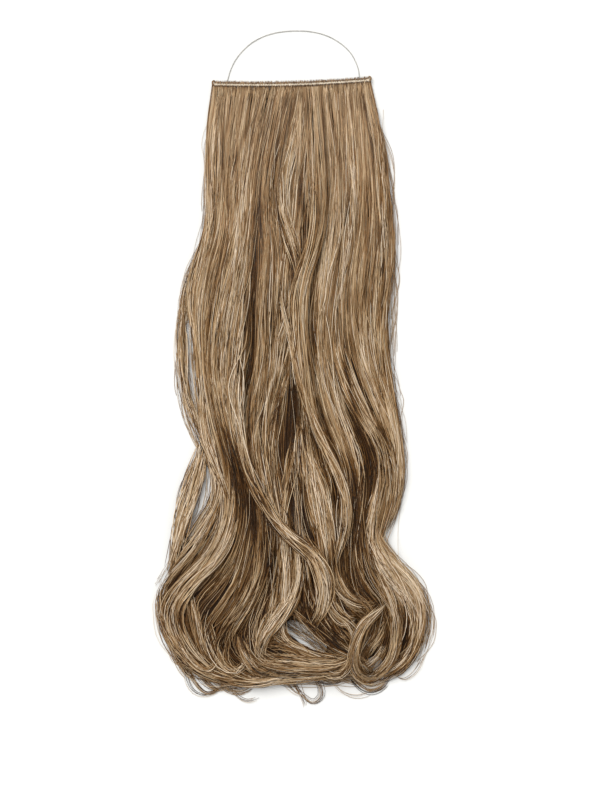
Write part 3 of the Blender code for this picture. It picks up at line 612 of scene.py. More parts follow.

# Shades: painted shade where the mass dips, and painted light where it catches the light. Each point
# holds (across, along, half its width) in the same thousandths, and change is what is added to the tone
# of the hair there.

Shade = namedtuple("Shade", "change points")
shades = (
    Shade(-.31, ((-233, 50, 4), (-250, 90, 5), (-256, 130, 5), (-250, 180, 4))),
    Shade(-.29, ((-150, 60, 6), (-185, 95, 6), (-207, 130, 6), (-206, 170, 6), (-200, 210, 5))),
    Shade(-.05, ((-100, 20, 15), (-120, 60, 18), (-135, 100, 15), (-140, 150, 12), (-135, 200, 12))),
    Shade(-.06, ((20, 25, 20), (-30, 60, 22), (-70, 100, 22), (-100, 135, 20), (-115, 180, 18),
                (-125, 230, 15))),
    Shade(-.38, ((-128, 200, 7), (-124, 240, 10), (-122, 280, 12), (-132, 320, 10), (-142, 380, 8),
                (-145, 440, 8), (-152, 500, 8), (-168, 540, 10))),
    Shade(-.36, ((-55, 90, 4), (-70, 140, 4), (-66, 190, 4), (-45, 230, 4), (-20, 265, 4), (0, 300, 5),
                (3, 340, 5))),
    Shade(-.44, ((25, 140, 4), (35, 180, 6), (45, 230, 6), (40, 280, 6), (25, 310, 5))),
    Shade(-.39, ((85, 150, 4), (84, 200, 5), (78, 250, 5), (62, 290, 4))),
    Shade(-.42, ((112, 190, 5), (108, 240, 6), (100, 280, 6), (88, 330, 6), (82, 380, 6), (80, 430, 6),
                (83, 480, 5))),
    Shade(-.21, ((150, 50, 5), (160, 90, 6), (178, 130, 6), (186, 170, 5))),
    Shade(-.21, ((255, 20, 8), (275, 60, 8), (295, 100, 7), (302, 150, 6))),
    Shade(-.26, ((275, 170, 5), (276, 230, 5), (275, 290, 5), (262, 340, 5), (250, 380, 5))),
    Shade(-.33, ((348, 280, 6), (337, 320, 7), (326, 360, 6), (315, 400, 5))),
    Shade(-.44, ((190, 430, 5), (200, 480, 6), (222, 530, 7), (250, 575, 8), (285, 615, 8))),
    Shade(-.36, ((303, 440, 5), (323, 490, 6), (345, 535, 5))),
    Shade(-.22, ((-55, 340, 10), (-66, 390, 12), (-76, 440, 10))),
    Shade(-.29, ((-268, 400, 6), (-275, 450, 6), (-268, 490, 5))),
    Shade(-.34, ((-160, 360, 5), (-170, 400, 5), (-182, 450, 5), (-186, 500, 5))),
    Shade(-.22, ((-5, 460, 6), (5, 500, 14), (10, 550, 20), (12, 600, 22), (0, 650, 18), (-10, 700, 12))),
    Shade(-.26, ((-245, 570, 12), (-222, 610, 24), (-190, 655, 32), (-165, 700, 28), (-155, 740, 20))),
    Shade(-.24, ((-158, 550, 8), (-158, 600, 10), (-140, 650, 10), (-100, 700, 15), (-85, 760, 22),
                (-85, 830, 18))),
    Shade(-.36, ((70, 560, 6), (92, 605, 6), (122, 650, 6), (152, 690, 5))),
    Shade(-.22, ((200, 620, 12), (228, 660, 16), (232, 710, 16), (228, 760, 16))),
    Shade(-.28, ((330, 575, 14), (312, 605, 22), (290, 640, 22), (265, 670, 16))),
    Shade(-.18, ((40, 750, 15), (60, 800, 20), (70, 850, 20), (80, 900, 15))),
    Shade(-.28, ((-312, 860, 10), (-310, 900, 12), (-300, 940, 10))),
    Shade(-.32, ((-250, 890, 10), (-225, 920, 20), (-200, 950, 15))),
    Shade(-.24, ((-450, 870, 10), (-425, 885, 20), (-400, 900, 12))),
    Shade(-.32, ((100, 885, 10), (140, 905, 22), (185, 925, 15))),
    Shade(-.32, ((420, 860, 10), (425, 890, 14), (415, 930, 10))),
    Shade(-.34, ((240, 330, 4), (238, 370, 4), (236, 410, 4))),
    Shade(-.34, ((-105, 500, 4), (-125, 535, 5), (-142, 570, 4))),
    Shade(-.30, ((-55, 490, 6), (-52, 530, 10), (-58, 565, 7))),
    Shade(-.34, ((-10, 560, 5), (-45, 605, 6), (-30, 660, 5))),
    Shade(-.32, ((35, 655, 7), (45, 700, 9), (60, 745, 7))),
    Shade(-.30, ((330, 440, 5), (345, 495, 5), (368, 525, 4))),
    Shade(-.28, ((-296, 300, 4), (-318, 340, 5), (-330, 390, 4))),
    Shade(+.10, ((-165, 330, 20), (-205, 420, 28), (-225, 490, 28), (-208, 560, 24), (-165, 620, 18))),
    Shade(+.10, ((-8, 100, 12), (-12, 150, 14), (-4, 200, 14), (16, 260, 10))),
    Shade(+.16, ((-215, 235, 8), (-197, 270, 8), (-177, 310, 8), (-158, 350, 6))),
    Shade(+.14, ((-85, 230, 10), (-94, 275, 12), (-102, 320, 8))),
    Shade(+.10, ((140, 230, 20), (125, 290, 20), (108, 340, 15))),
    Shade(+.08, ((222, 290, 20), (210, 345, 20), (202, 400, 20))),
    Shade(+.10, ((150, 350, 20), (146, 410, 20), (160, 470, 20), (182, 530, 20))),
    Shade(+.08, ((250, 400, 15), (262, 450, 18), (290, 500, 18), (325, 550, 12))),
    Shade(+.10, ((-295, 290, 12), (-318, 330, 14), (-336, 380, 12))),
)

# Gaps that show the table, each as (across, along, half its width) points

gaps = (
    ((-391, 422, 4), (-386, 445, 7), (-376, 474, 8), (-365, 499, 7), (-352, 524, 4)),
    ((-312, 626, 4), (-317, 648, 9), (-328, 673, 12), (-345, 689, 12), (-365, 706, 9), (-382, 722, 4)),
    ((-24, 890, 6), (0, 899, 12), (35, 911, 11), (75, 925, 7), (115, 940, 4)),
    ((255, 960, 5), (278, 963, 9), (302, 959, 9), (325, 948, 5)),
)

shadeDip = 0.0030    # how deep the hair sinks where the change is a whole tone


def widePath(points):
    rows = []
    for across, along, half in points:
        rows.append((*placeOnTable(across / 1000, along / 1000), half / 1000 * layout["hairWidth"]))
    return smoothRows(rows, 0.003)[0]


shadeCell, flowCell = 0.001, 0.004    # of the grids that hold the shades and the hair's flow
gridMargin = 0.01


def gridSpots(cell):
    across = np.arange(cadLow[0] - gridMargin, cadHigh[0] + gridMargin, cell)
    along = np.arange(cadLow[1] - gridMargin, seamY + gridMargin, cell)
    return np.meshgrid(across, along)


def readGrid(grid, cell, x, y):
    # the grid's values between its spots
    column = np.clip((np.asarray(x) - cadLow[0] + gridMargin) / cell, 0, grid.shape[1] - 1.001)
    row = np.clip((np.asarray(y) - cadLow[1] + gridMargin) / cell, 0, grid.shape[0] - 1.001)
    c, r = column.astype(int), row.astype(int)
    right, up = column - c, row - r
    if grid.ndim == 3:
        right, up = right[..., None], up[..., None]
    return ((grid[r, c] * (1 - right) + grid[r, c + 1] * right) * (1 - up)
            + (grid[r + 1, c] * (1 - right) + grid[r + 1, c + 1] * right) * up)


def paintedGrid(strokes):
    # the sum of soft strokes, each an amount and a path with half its width
    x, y = gridSpots(shadeCell)
    change = np.zeros(x.shape)
    for amount, path in strokes:
        reach = 3 * path[:, 2].max()
        near = (x > path[:, 0].min() - reach) & (x < path[:, 0].max() + reach)
        near &= (y > path[:, 1].min() - reach) & (y < path[:, 1].max() + reach)
        away = (x[near][:, None] - path[:, 0]) ** 2 + (y[near][:, None] - path[:, 1]) ** 2
        change[near] += amount * np.exp(-away / (2 * path[:, 2] ** 2)).max(axis=1)
    return change


shadeChanges = paintedGrid([(shade.change, widePath(shade.points)) for shade in shades])
gapShares = paintedGrid([(1, widePath(points)) for points in gaps])


def shadeAt(x, y):
    return readGrid(shadeChanges, shadeCell, x, y)


strandLook = {
    "radius": 0.00031,       # a strand stands for a few hairs, drawn as coarse as the picture shows it
    "thinnest": 0.00014,     # at its tip
    "looseShare": 0.65,      # a loose strand's radius, as a share of the others'
    "taper": 0.15,           # share of a strand over which it thins out
    "sides": 3,
    "curtainSpacing": 0.0140,
    "curlSpacing": 0.0090,
    "looseSpacing": 0.0040,
    "curtainSpread": 1.22,   # how much wider a lock's strands lie than its guide says
    "curlSpread": 1.20,
    "rootSpread": 0.26,      # share of the lock over which its strands start
    "tipSpread": 0.20,       # and end
    "shell": 0.0032,         # depth of the strands that a lock shows
    "roundness": 0.0042,     # how far a lock's sides fall away from its crest
    "levelStep": 0.0024,     # how much higher each level lies
    "wispHeight": 0.55,      # of locks that lie on the table beside the mass, as a share of the solid's
    "uneven": 0.30,          # how far locks of the same level differ in it
    "fullDepthAt": 0.013,    # height of the mass above which a lock has its full depth
    "thinDepth": 0.15,       # share of that depth that a lock keeps where the mass is thin
    "sink": 0.0040,          # how deep a lock that starts or ends in the mass dives there
    "sinkShare": 0.12,       # and over how much of its length
    "lowestCrest": 0.0016,
    "lowestStrand": 0.0006,
    "clumpWidth": 0.0020,    # strands keep together in clumps of this width
    "clumpPull": 0.42,
    "clumpDrift": 0.20,
    "wander": 0.0014,
    "curlWander": 1.4,       # times as much in the curls
    "strayShare": 0.05,
    "strayWander": 0.0026,
    "clumpTones": 0.07,      # how far clumps, strands and places along a strand differ in tone
    "strandTones": 0.20,
    # painted sheen and shade along a strand, where it weaves over and under its neighbours
    "streakShadeAndSheen": 0.10,
    "rootContrast": 0.50,    # the hair is more even near the root
    "curlContrast": 1.3,
    "crestPaintedLight": 0.05,       # painted light: a lock is lighter on its crest,
    "sidePaintedShade": 0.26,        # painted shade: darker at its sides
    "shellPaintedShade": 0.20,       # and painted shade below its top strands
    "darkerLow": 0.035,      # how much darker the end curls are
}
edgeHeight = 0.0015      # the mass ends where the solid is lower than this
besideHeight = 0.0012    # how high hair lies on the table beside the mass

hairSolid = bpy.data.objects["hair"]
solidTree = BVHTree.FromPolygons([v.co[:] for v in hairSolid.data.vertices],
                                 [p.vertices[:] for p in hairSolid.data.polygons])


def topOfSolid(x, y):
    hit = solidTree.ray_cast(Vector((x, y, 1)), Vector((0, 0, -1)))[0]
    return hit.z if hit else besideHeight


def depthShare(height):
    # how much of its full depth a lock has where the mass is this high
    return np.clip(height / strandLook["fullDepthAt"], strandLook["thinDepth"], 1)


def smoothed(values, reach):
    # a running mean over reach points each way
    padded = np.concatenate([np.full(reach, values[0]), values, np.full(reach, values[-1])])
    return np.convolve(padded, np.ones(2 * reach + 1) / (2 * reach + 1), mode="valid")


def heightsUnder(lines):
    # the solid's height along each line, evened out
    return np.array([smoothed(np.array([topOfSolid(x, y) for x, y in line]), 2) for line in lines])


def hairAge(lines):
    # share of the hair's length at each point, from 0 at the seam
    return (seamY - lines[:, :, 1]) / layout["hairLength"]


def directions(lines):
    # unit vectors along the lines and across them
    ahead = np.gradient(lines, axis=-2)
    ahead /= np.linalg.norm(ahead, axis=-1, keepdims=True)
    return ahead, np.stack([ahead[..., 1], -ahead[..., 0]], axis=-1)


def guideRows(lock, spread=1):
    # a guide's knots in metres, with their tones as shares
    rows = []
    for across, along, width, tone in lock.guide:
        spot = placeOnTable(across / 1000, along / 1000)
        rows.append((*spot, spread * (width / 1000) * layout["hairWidth"], tone / 100))
    return rows


def wave(rng, count, run, shortest, longest):
    # a smooth random line for each strand, about -1 to 1, over the run in metres
    total = np.zeros((count, len(run)))
    for _ in range(3):
        period = rng.uniform(shortest, longest, (count, 1))
        total += np.sin(2 * np.pi * (run[None, :] / period + rng.random((count, 1))))
    return total / 1.8


def layStrands(lock, rng):
    # the strands of a lock, as their centre points, tones, places along the hair and radii
    inCurtain = lock.density == curtain
    isLoose = lock.density == loose
    spread = strandLook["curtainSpread" if inCurtain else "curlSpread"]
    kind = "curtainSpacing" if inCurtain else "looseSpacing" if isLoose else "curlSpacing"
    path, length = smoothRows(guideRows(lock, spread), strandLook[kind])
    centre, width, tone = path[:, :2], path[:, 2], path[:, 3]
    height = np.array([topOfSolid(x, y) for x, y in centre])
    if lock.name.startswith("gap"):
        height = np.full(len(height), np.median(height))    # it spans the gap, held up at both ends
    height = smoothed(height, 2)
    if lock.level == 0:
        height *= strandLook["wispHeight"]
    else:
        height += (lock.level - 1) * strandLook["levelStep"] * depthShare(height)
    height = np.maximum(height, strandLook["lowestCrest"])
    side = directions(centre)[1]
    count = round(lock.density * 1000 * width.max() / spread)
    steps = len(path)
    firstAge = lock.guide[0][1] / 1000
    fromRoot = firstAge < 0.01
    first = np.zeros((count, 1)) if fromRoot else strandLook["rootSpread"] * rng.random((count, 1))
    last = 1 - strandLook["tipSpread"] * rng.random((count, 1))
    done = first + (last - first) * np.linspace(0, 1, steps)[None, :] + np.zeros((count, 1))

    def alongPath(values):
        return np.interp(done, np.linspace(0, 1, steps), values)

    # across the lock: clumps that close up towards the tips, and a few strays
    across = (np.arange(count)[:, None] + rng.random((count, 1))) / count * 2 - 1
    clumps = max(3, round(width.max() / strandLook["clumpWidth"]))
    clump = np.minimum(((across + 1) / 2 * clumps).astype(int), clumps - 1)[:, 0]
    home = ((clump + 0.5) / clumps * 2 - 1)[:, None]
    run = np.linspace(0, length, steps)
    pull = 0.7 + 0.4 * wave(rng, clumps, run, 0.08, 0.3)[clump]
    pull = strandLook["clumpPull"] * (0.1 + 0.9 * done) * pull
    drift = wave(rng, clumps, run, 0.10, 0.35)[clump] * strandLook["clumpDrift"]
    reach = across + (home - across) * np.clip(pull, 0, 0.85) + drift * (1.1 - np.abs(across))
    stray = rng.random((count, 1)) < strandLook["strayShare"]
    wander = np.where(stray, strandLook["strayWander"], strandLook["wander"])
    wander = wander * (1 if inCurtain else strandLook["curlWander"])
    wander = wander * wave(rng, count, run, 0.09, 0.30) * np.minimum(1, 4 * done + 0.15)
    sideways = reach * alongPath(width) / 2 + wander

    # up and down: round on top, deeper inside, diving where it starts or ends in the mass
    rank = np.where(stray, 1.0, rng.random((count, 1)) ** 0.8)
    offMiddle = np.clip(np.abs(reach), 0, 1)
    fallAway = np.minimum(strandLook["roundness"], 0.40 * alongPath(width))
    lift = -fallAway * (1 - np.sqrt(1 - 0.96 * offMiddle ** 2)) - strandLook["shell"] * (1 - rank)
    starting = 0 if fromRoot else np.clip(1 - (done - first) / strandLook["sinkShare"], 0, 1) ** 2
    ending = np.clip(1 - (last - done) / strandLook["sinkShare"], 0, 1) ** 2
    if lock.level > 0:
        lift -= strandLook["sink"] * (starting + ending)
    lift *= depthShare(alongPath(height))
    lift += np.where(stray, 0.0010, 0.0003) * wave(rng, count, run, 0.04, 0.12)
    points = np.empty((count, steps, 3))
    points[:, :, 0] = alongPath(centre[:, 0]) + sideways * alongPath(side[:, 0])
    points[:, :, 1] = alongPath(centre[:, 1]) + sideways * alongPath(side[:, 1])
    points[:, :, 2] = np.maximum(alongPath(height) + lift, strandLook["lowestStrand"])

    # tone: the hair's own, with painted shade and light
    shade = alongPath(tone) + strandLook["clumpTones"] * wave(rng, clumps, run, 0.08, 0.30)[clump]
    age = firstAge + (1 - firstAge) * done
    evenness = strandLook["rootContrast"]
    contrast = evenness + (1 - evenness) * np.clip(age / 0.35, 0, 1)
    contrast *= 1 if inCurtain else strandLook["curlContrast"]
    perStrand = strandLook["strandTones"] * rng.standard_normal((count, 1))
    # painted sheen and shade along the strand
    perPlace = strandLook["streakShadeAndSheen"] * wave(rng, count, run, 0.04, 0.15)
    shade = shade + contrast * (perStrand + perPlace)
    # painted shade and painted light from the shades
    change = shadeAt(points[:, :, 0], points[:, :, 1]) * (1 if lock.level < 2 else 0.2)
    shade += change
    dipped = points[:, :, 2] + shadeDip * np.minimum(change, 0)
    points[:, :, 2] = np.maximum(dipped, strandLook["lowestStrand"])
    # painted light on a lock's crest, painted shade at its sides and under its top strands
    shade -= (strandLook["sidePaintedShade"] * offMiddle ** 3 - strandLook["crestPaintedLight"]
              + strandLook["shellPaintedShade"] * (1 - rank) ** 1.5)
    shade -= strandLook["darkerLow"] * np.clip((age - 0.6) / 0.15, 0, 1)
    thickness = strandLook["looseShare"] if isLoose else 1
    return points, shade, age, thickness * strandRadii(rng, count, steps, fromRoot)


def strandRadii(rng, count, steps, fromRoot):
    # full at the root, thin where a strand ends
    place = np.linspace(0, 1, steps)[None, :]
    full = strandLook["radius"] * rng.uniform(0.7, 1.3, (count, 1))
    grown = 1 if fromRoot else np.clip(place / strandLook["taper"], 0, 1)
    kept = np.clip((1 - place) / strandLook["taper"], 0, 1)
    return strandLook["thinnest"] + (full - strandLook["thinnest"]) * np.sqrt(grown * kept)


# Between the locks the hair flows as its neighbours do: the fill's strands are drawn through a field
# of the guides' directions.

fill = {
    "count": 1100,
    "reach": 0.0095,     # how far a guide's direction carries
    "step": 0.0105,
    "steps": 14,         # each way from the middle of a strand
    "points": 20,
    "below": 0.0012,     # the fill's top, under the solid's
    "depth": 0.0016,
    # painted shade: the fill lies under the locks
    "darker": 0.14,
    "darkerLow": 0.12,   # and as much more painted shade where the waves open
    "strandTones": 0.17,
}


def guideField():
    spots, aheads, tones, weights = [], [], [], []
    for lock in locks:
        if lock.level in (1, -1):
            path = smoothRows(guideRows(lock), 0.008)[0]
            spots.append(path[:, :2])
            aheads.append(directions(path[:, :2])[0])
            tones.append(path[:, 3])
            weights.append(path[:, 2] if lock.level == 1 else 0.3 * path[:, 2])
    return np.vstack(spots), np.vstack(aheads), np.concatenate(tones), np.concatenate(weights)


def flowGrid():
    # the direction and the tone that the guides near each place give it
    spots, aheads, tones, weights = guideField()
    x, y = gridSpots(flowCell)
    away = (x.ravel()[:, None] - spots[:, 0]) ** 2 + (y.ravel()[:, None] - spots[:, 1]) ** 2
    share = np.exp(-away / (2 * fill["reach"] ** 2)) * weights + 1e-12
    total = share.sum(axis=1)
    blends = [share @ values / total for values in (aheads[:, 0], aheads[:, 1], tones)]
    return np.stack([blend.reshape(x.shape) for blend in blends], axis=-1)


flows = flowGrid()


def flow(at):
    found = readGrid(flows, flowCell, at[:, 0], at[:, 1])
    ahead = found[:, :2] / (np.linalg.norm(found[:, :2], axis=1)[:, None] + 1e-9)
    return ahead, found[:, 2]


def cutAtEdge(line):
    kept = []
    for x, y in line:
        inGap = readGrid(gapShares, shadeCell, x, y) > 0.5
        if y > seamY - 0.002 or topOfSolid(x, y) < edgeHeight or inGap:
            break
        kept.append((x, y))
    return kept


def evenly(line, count):
    run = np.concatenate([[0], np.cumsum(np.hypot(*np.diff(line, axis=0).T))])
    even = np.linspace(0, run[-1], count)
    return np.column_stack([np.interp(even, run, column) for column in line.T])


def evenLines(look, rng):
    lines = flowLines(look["count"], look["steps"], rng)
    return np.array([evenly(line, look["points"]) for line in lines])


def flowLines(count, steps, rng):
    # lines through the field, from points spread over the whole mass
    starts = []
    while len(starts) < count:
        x, y = rng.uniform(cadLow[0], cadHigh[0]), rng.uniform(cadLow[1], seamY - 0.003)
        if topOfSolid(x, y) > edgeHeight and readGrid(gapShares, shadeCell, x, y) < 0.5:
            starts.append((x, y))
    starts = np.array(starts)
    ways = {+1: [], -1: []}
    for way in ways:
        at = starts.copy()
        for _ in range(steps):
            at = at + way * fill["step"] * flow(at)[0]
            ways[way].append(at)
    found = []
    for number, start in enumerate(starts):
        ahead = cutAtEdge([at[number] for at in ways[+1]])
        behind = cutAtEdge([at[number] for at in ways[-1]])
        if len(ahead) + len(behind) > 5:
            found.append(np.array(behind[::-1] + [start] + ahead))
    return found


def layFill(rng):
    lines = evenLines(fill, rng)
    count, steps, _ = lines.shape
    height = heightsUnder(lines)
    run = np.linspace(0, 0.25, steps)
    points = np.empty((count, steps, 3))
    points[:, :, :2] = lines + 0.0006 * wave(rng, count, run, 0.05, 0.2)[:, :, None]
    below = fill["below"] + fill["depth"] * rng.random((count, 1))
    points[:, :, 2] = np.maximum(height - depthShare(height) * below, strandLook["lowestStrand"])
    # painted shade for the hair under the locks
    shade = flow(lines.reshape(-1, 2))[1].reshape(count, steps) - fill["darker"]
    shade = shade + fill["strandTones"] * rng.standard_normal((count, 1))
    # painted sheen and shade along the strand
    shade += strandLook["streakShadeAndSheen"] * wave(rng, count, run, 0.04, 0.15)
    # painted shade and painted light from the shades
    shade += shadeAt(points[:, :, 0], points[:, :, 1])
    age = hairAge(lines)
    # more painted shade where the waves open
    shade -= fill["darkerLow"] * np.clip((age - 0.5) / 0.2, 0, 1)
    return points, shade, age, strandRadii(rng, count, steps, False)


# Tufts: a few strands that keep together on the mass and differ from what they lie on in tone

tufts = {
    "count": 80,
    "steps": 11,
    "density": 3.6,
    "narrowest": 8,      # in thousandths of the hair's width
    "widest": 24,
    "level": 1.25,
    "toneSpread": 0.15,
}


def layTufts(rng):
    bundles = []
    for line in flowLines(tufts["count"], tufts["steps"], rng):
        line = line[rng.integers(0, 3):]
        tones = flow(line)[1] + tufts["toneSpread"] * rng.standard_normal()
        width = rng.uniform(tufts["narrowest"], tufts["widest"])
        across = 1000 * line[:, 0] / layout["hairWidth"]
        along = 1000 * (seamY - line[:, 1]) / layout["hairLength"]
        guide = [(*spot, width, 100 * tone) for *spot, tone in zip(across, along, tones)]
        bundles.append(layStrands(Lock("tuft", "tufts", tufts["level"], tufts["density"], guide), rng))
    return bundles


def loneHairs(points, lines, look, rng):
    # tones, ages and radii for hairs that lie alone, each in one tone
    count, flat = len(points), np.zeros(points.shape[:2])
    shade = look["tone"] + 0.10 * rng.standard_normal((count, 1)) + flat
    radius = look["radius"] * rng.uniform(look["thinnest"], 1.2, (count, 1)) + flat
    return points, shade, hairAge(lines), radius


# Flyaways: single hairs that leave the outline and come back to it

flyaways = {
    "count": 2400,    # tries, of which those beside the outline are kept
    "steps": 7,
    "points": 16,
    "margin": 0.008,
    "nearest": 0.0010,
    "furthest": 0.0080,
    "radius": 0.00019,
    "thinnest": 0.6,
    "tone": 0.50,
}


def layFlyaways(rng):
    kept = []
    margin = flyaways["margin"]
    for line in flowLines(flyaways["count"], flyaways["steps"], rng):
        x, y = line[len(line) // 2]
        ahead = flow(np.array([[x, y]]))[0][0]
        side = np.array([ahead[1], -ahead[0]])
        for way in (1, -1):
            if topOfSolid(x + way * side[0] * margin, y + way * side[1] * margin) < edgeHeight:
                line = evenly(line, flyaways["points"])
                bow = rng.uniform(flyaways["nearest"], flyaways["furthest"]) * rng.random() ** 0.5
                share = np.sin(np.pi * np.linspace(0, rng.uniform(0.55, 1.0), len(line))) ** 2
                kept.append(line + (way * (margin * 0.6 + bow) * share)[:, None] * side)
                break
    lines = np.array(kept)
    count, steps, _ = lines.shape
    points = np.empty((count, steps, 3))
    run = np.linspace(0, 0.15, steps)
    points[:, :, :2] = lines + 0.0007 * wave(rng, count, run, 0.04, 0.12)[:, :, None]
    points[:, :, 2] = np.maximum(heightsUnder(lines) - 0.0004, 0.0005)
    return loneHairs(points, lines, flyaways, rng)


# Stray hairs that cross the locks at a slant, on top of the mass

strays = {
    "count": 220,
    "steps": 5,
    "points": 14,
    "slant": 0.011,
    "above": 0.0007,
    "radius": 0.00017,
    "thinnest": 0.7,
    "tone": 0.66,
}


def layStrays(rng):
    lines = evenLines(strays, rng)
    count, steps, _ = lines.shape
    slant = strays["slant"] * rng.uniform(-1, 1, (count, 1)) * np.linspace(-0.5, 0.5, steps)
    slant = slant + 0.0012 * wave(rng, count, np.linspace(0, 0.12, steps), 0.05, 0.12)
    points = np.empty((count, steps, 3))
    points[:, :, :2] = lines + slant[:, :, None] * directions(lines)[1]
    ends = np.abs(np.linspace(-1, 1, steps)) ** 4
    height = heightsUnder(points[:, :, :2])
    points[:, :, 2] = np.maximum(height + strays["above"] - 0.002 * ends, 0.0005)
    return loneHairs(points, lines, strays, rng)


mapCorner = 0.004    # how far a strand's faces spread in the map, so that each covers a little of it


def tubes(points, shade, age, radius, rng):
    # closed tubes round the strands: corners, faces and the map's corners
    count, steps, _ = points.shape
    shade = np.clip(shade, 0.01, 0.86)
    age = np.clip(age, 0.01, 0.99) + mapCorner * np.linspace(0, 1, steps)[None, :]
    sides = strandLook["sides"]
    ahead = np.gradient(points, axis=1)
    ahead /= np.linalg.norm(ahead, axis=2)[:, :, None]
    side = np.cross(ahead, (0, 0, 1))
    side /= np.linalg.norm(side, axis=2)[:, :, None]
    up = np.cross(side, ahead)
    start = rng.random((count, 1, 1)) * 2 * np.pi
    corners = np.empty((count, steps, sides, 3))
    for k in range(sides):
        angle = start + 2 * np.pi * k / sides
        corners[:, :, k] = points + radius[:, :, None] * (np.cos(angle) * side + np.sin(angle) * up)

    first = np.arange(count)[:, None] * steps * sides
    k = np.arange(sides)
    base = first[:, :, None] + np.arange(steps - 1)[None, :, None] * sides
    after = (k + 1) % sides
    quads = np.stack([base + k, base + after, base + sides + after, base + sides + k], axis=-1)
    heads = first + k[::-1]
    tails = first + (steps - 1) * sides + k

    u0, u1 = shade[:, :-1, None] + mapCorner * k, shade[:, 1:, None] + mapCorner * k
    v0, v1 = np.broadcast_to(age[:, :-1, None], u0.shape), np.broadcast_to(age[:, 1:, None], u1.shape)
    spots = ((u0, v0), (u0 + mapCorner, v0), (u1 + mapCorner, v1), (u1, v1))
    quadMap = np.stack([np.stack(spot, axis=-1) for spot in spots], axis=-2)
    capMap = np.vstack([np.stack([shade[:, 0], age[:, 0]], -1),
                        np.stack([shade[:, -1], age[:, -1] - mapCorner], -1)])
    capMap = capMap[:, None, :] + np.array([(0, 0), (mapCorner, 0), (0, mapCorner)])
    caps = np.vstack([heads, tails])
    return corners.reshape(-1, 3), quads.reshape(-1, 4), caps, quadMap.reshape(-1, 2), capMap.reshape(-1, 2)


def strandMesh(name, bundles, rng, finish=dyedHair):
    # one mesh of all the strands in the bundles, each bundle as layStrands gives it
    made = [tubes(*bundle, rng) for bundle in bundles]
    starts = np.cumsum([0] + [len(part[0]) for part in made])
    corners = np.vstack([part[0] for part in made])
    quads = np.vstack([part[1] + start for part, start in zip(made, starts)])
    caps = np.vstack([part[2] + start for part, start in zip(made, starts)])
    mesh = bpy.data.meshes.new(name)
    mesh.vertices.add(len(corners))
    mesh.vertices.foreach_set("co", corners.ravel())
    mesh.loops.add(quads.size + caps.size)
    order = np.concatenate([quads.ravel(), caps.ravel()])
    mesh.loops.foreach_set("vertex_index", order.astype(np.int32))
    mesh.polygons.add(len(quads) + len(caps))
    begins = np.concatenate([np.arange(len(quads)) * 4, quads.size + np.arange(len(caps)) * 3])
    mesh.polygons.foreach_set("loop_start", begins.astype(np.int32))
    mesh.update(calc_edges=True)
    if finish == dyedHair:
        spots = np.vstack([part[3] for part in made] + [part[4] for part in made])
        layer = mesh.uv_layers.new(name="OFBake")
        layer.data.foreach_set("uv", np.clip(spots, 0.001, 0.999).astype(np.float32).ravel())
    mesh.polygons.foreach_set("use_smooth", np.ones(len(mesh.polygons), dtype=bool))
    mesh.validate()
    mesh.materials.append(finish)
    piece = bpy.data.objects.new(name, mesh)
    bpy.context.scene.collection.objects.link(piece)
    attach(piece, "root")
    print(name, "strands:", sum(len(b[0]) for b in bundles), "triangles:", 2 * len(quads) + len(caps))


def addLocks():
    pieces = {}
    for number, lock in enumerate(locks):
        rng = np.random.default_rng(1000 + number)
        if lock.level == 1:
            lock = lock._replace(level=1 + strandLook["uneven"] * (number % 3 - 1))
        pieces.setdefault(lock.piece, []).append(layStrands(lock, rng))
    pieces["deep_hair"].append(layFill(np.random.default_rng(7)))
    pieces["tufts"] = layTufts(np.random.default_rng(8))
    pieces["loose_hair"] += [layFlyaways(np.random.default_rng(9)), layStrays(np.random.default_rng(10))]
    for number, (name, bundles) in enumerate(pieces.items()):
        strandMesh(name, bundles, np.random.default_rng(50 + number))


addLocks()


# The sewn heads: short hairs folded over both rows, cream stitches on the front one and a fold at each
# end, where the weft turns back

seam = {
    "hairSpacing": 0.0005,
    "hairRadius": 0.00024,
    "foldRadius": 0.0013,
    "foldHairs": 16,
    "foldThickness": 0.0006,
    "stitchSpacing": 0.0022,
    "stitchLean": 0.0007,
    "threadRadius": 0.00018,
    "age": 0.02,         # where its hairs lie in the map, close to the root
    "backTones": (0.26, 0.34, 0.42, 0.34, 0.30),
    # the front row's first, darkest tones are painted shadow under the front head's lower edge
    "frontTones": (0.14, 0.10, 0.42, 0.55, 0.55),
}
headTop = 0.0042    # height of the front head's face, and a hair's thickness


def shortHairs(rows, tones, fray, rng):
    # hairs laid side by side along the seam; a row holds (up from the seam line, height)
    across = np.arange(seamLeft, seamLeft + layout["seamWidth"], seam["hairSpacing"])
    across = across + 0.0003 * rng.standard_normal(len(across))
    count, steps = len(across), len(rows)
    points = np.empty((count, steps, 3))
    slant = 0.0006 * rng.standard_normal((count, 1)) * np.linspace(-1, 1, steps)
    points[:, :, 0] = across[:, None] + slant
    points[:, :, 1] = (seamY + seamWave(across))[:, None] + np.array([up for up, _ in rows])
    points[:, -1, 1] += fray * rng.random(count) * np.sign(rows[-1][0] - rows[0][0])
    points[:, :, 2] = np.array([height for _, height in rows])
    shade = np.array(tones) + 0.13 * rng.standard_normal((count, 1))
    flat = np.ones((count, steps))
    return points, shade, seam["age"] * flat, seam["hairRadius"] * flat * rng.uniform(0.7, 1.2, (count, 1))


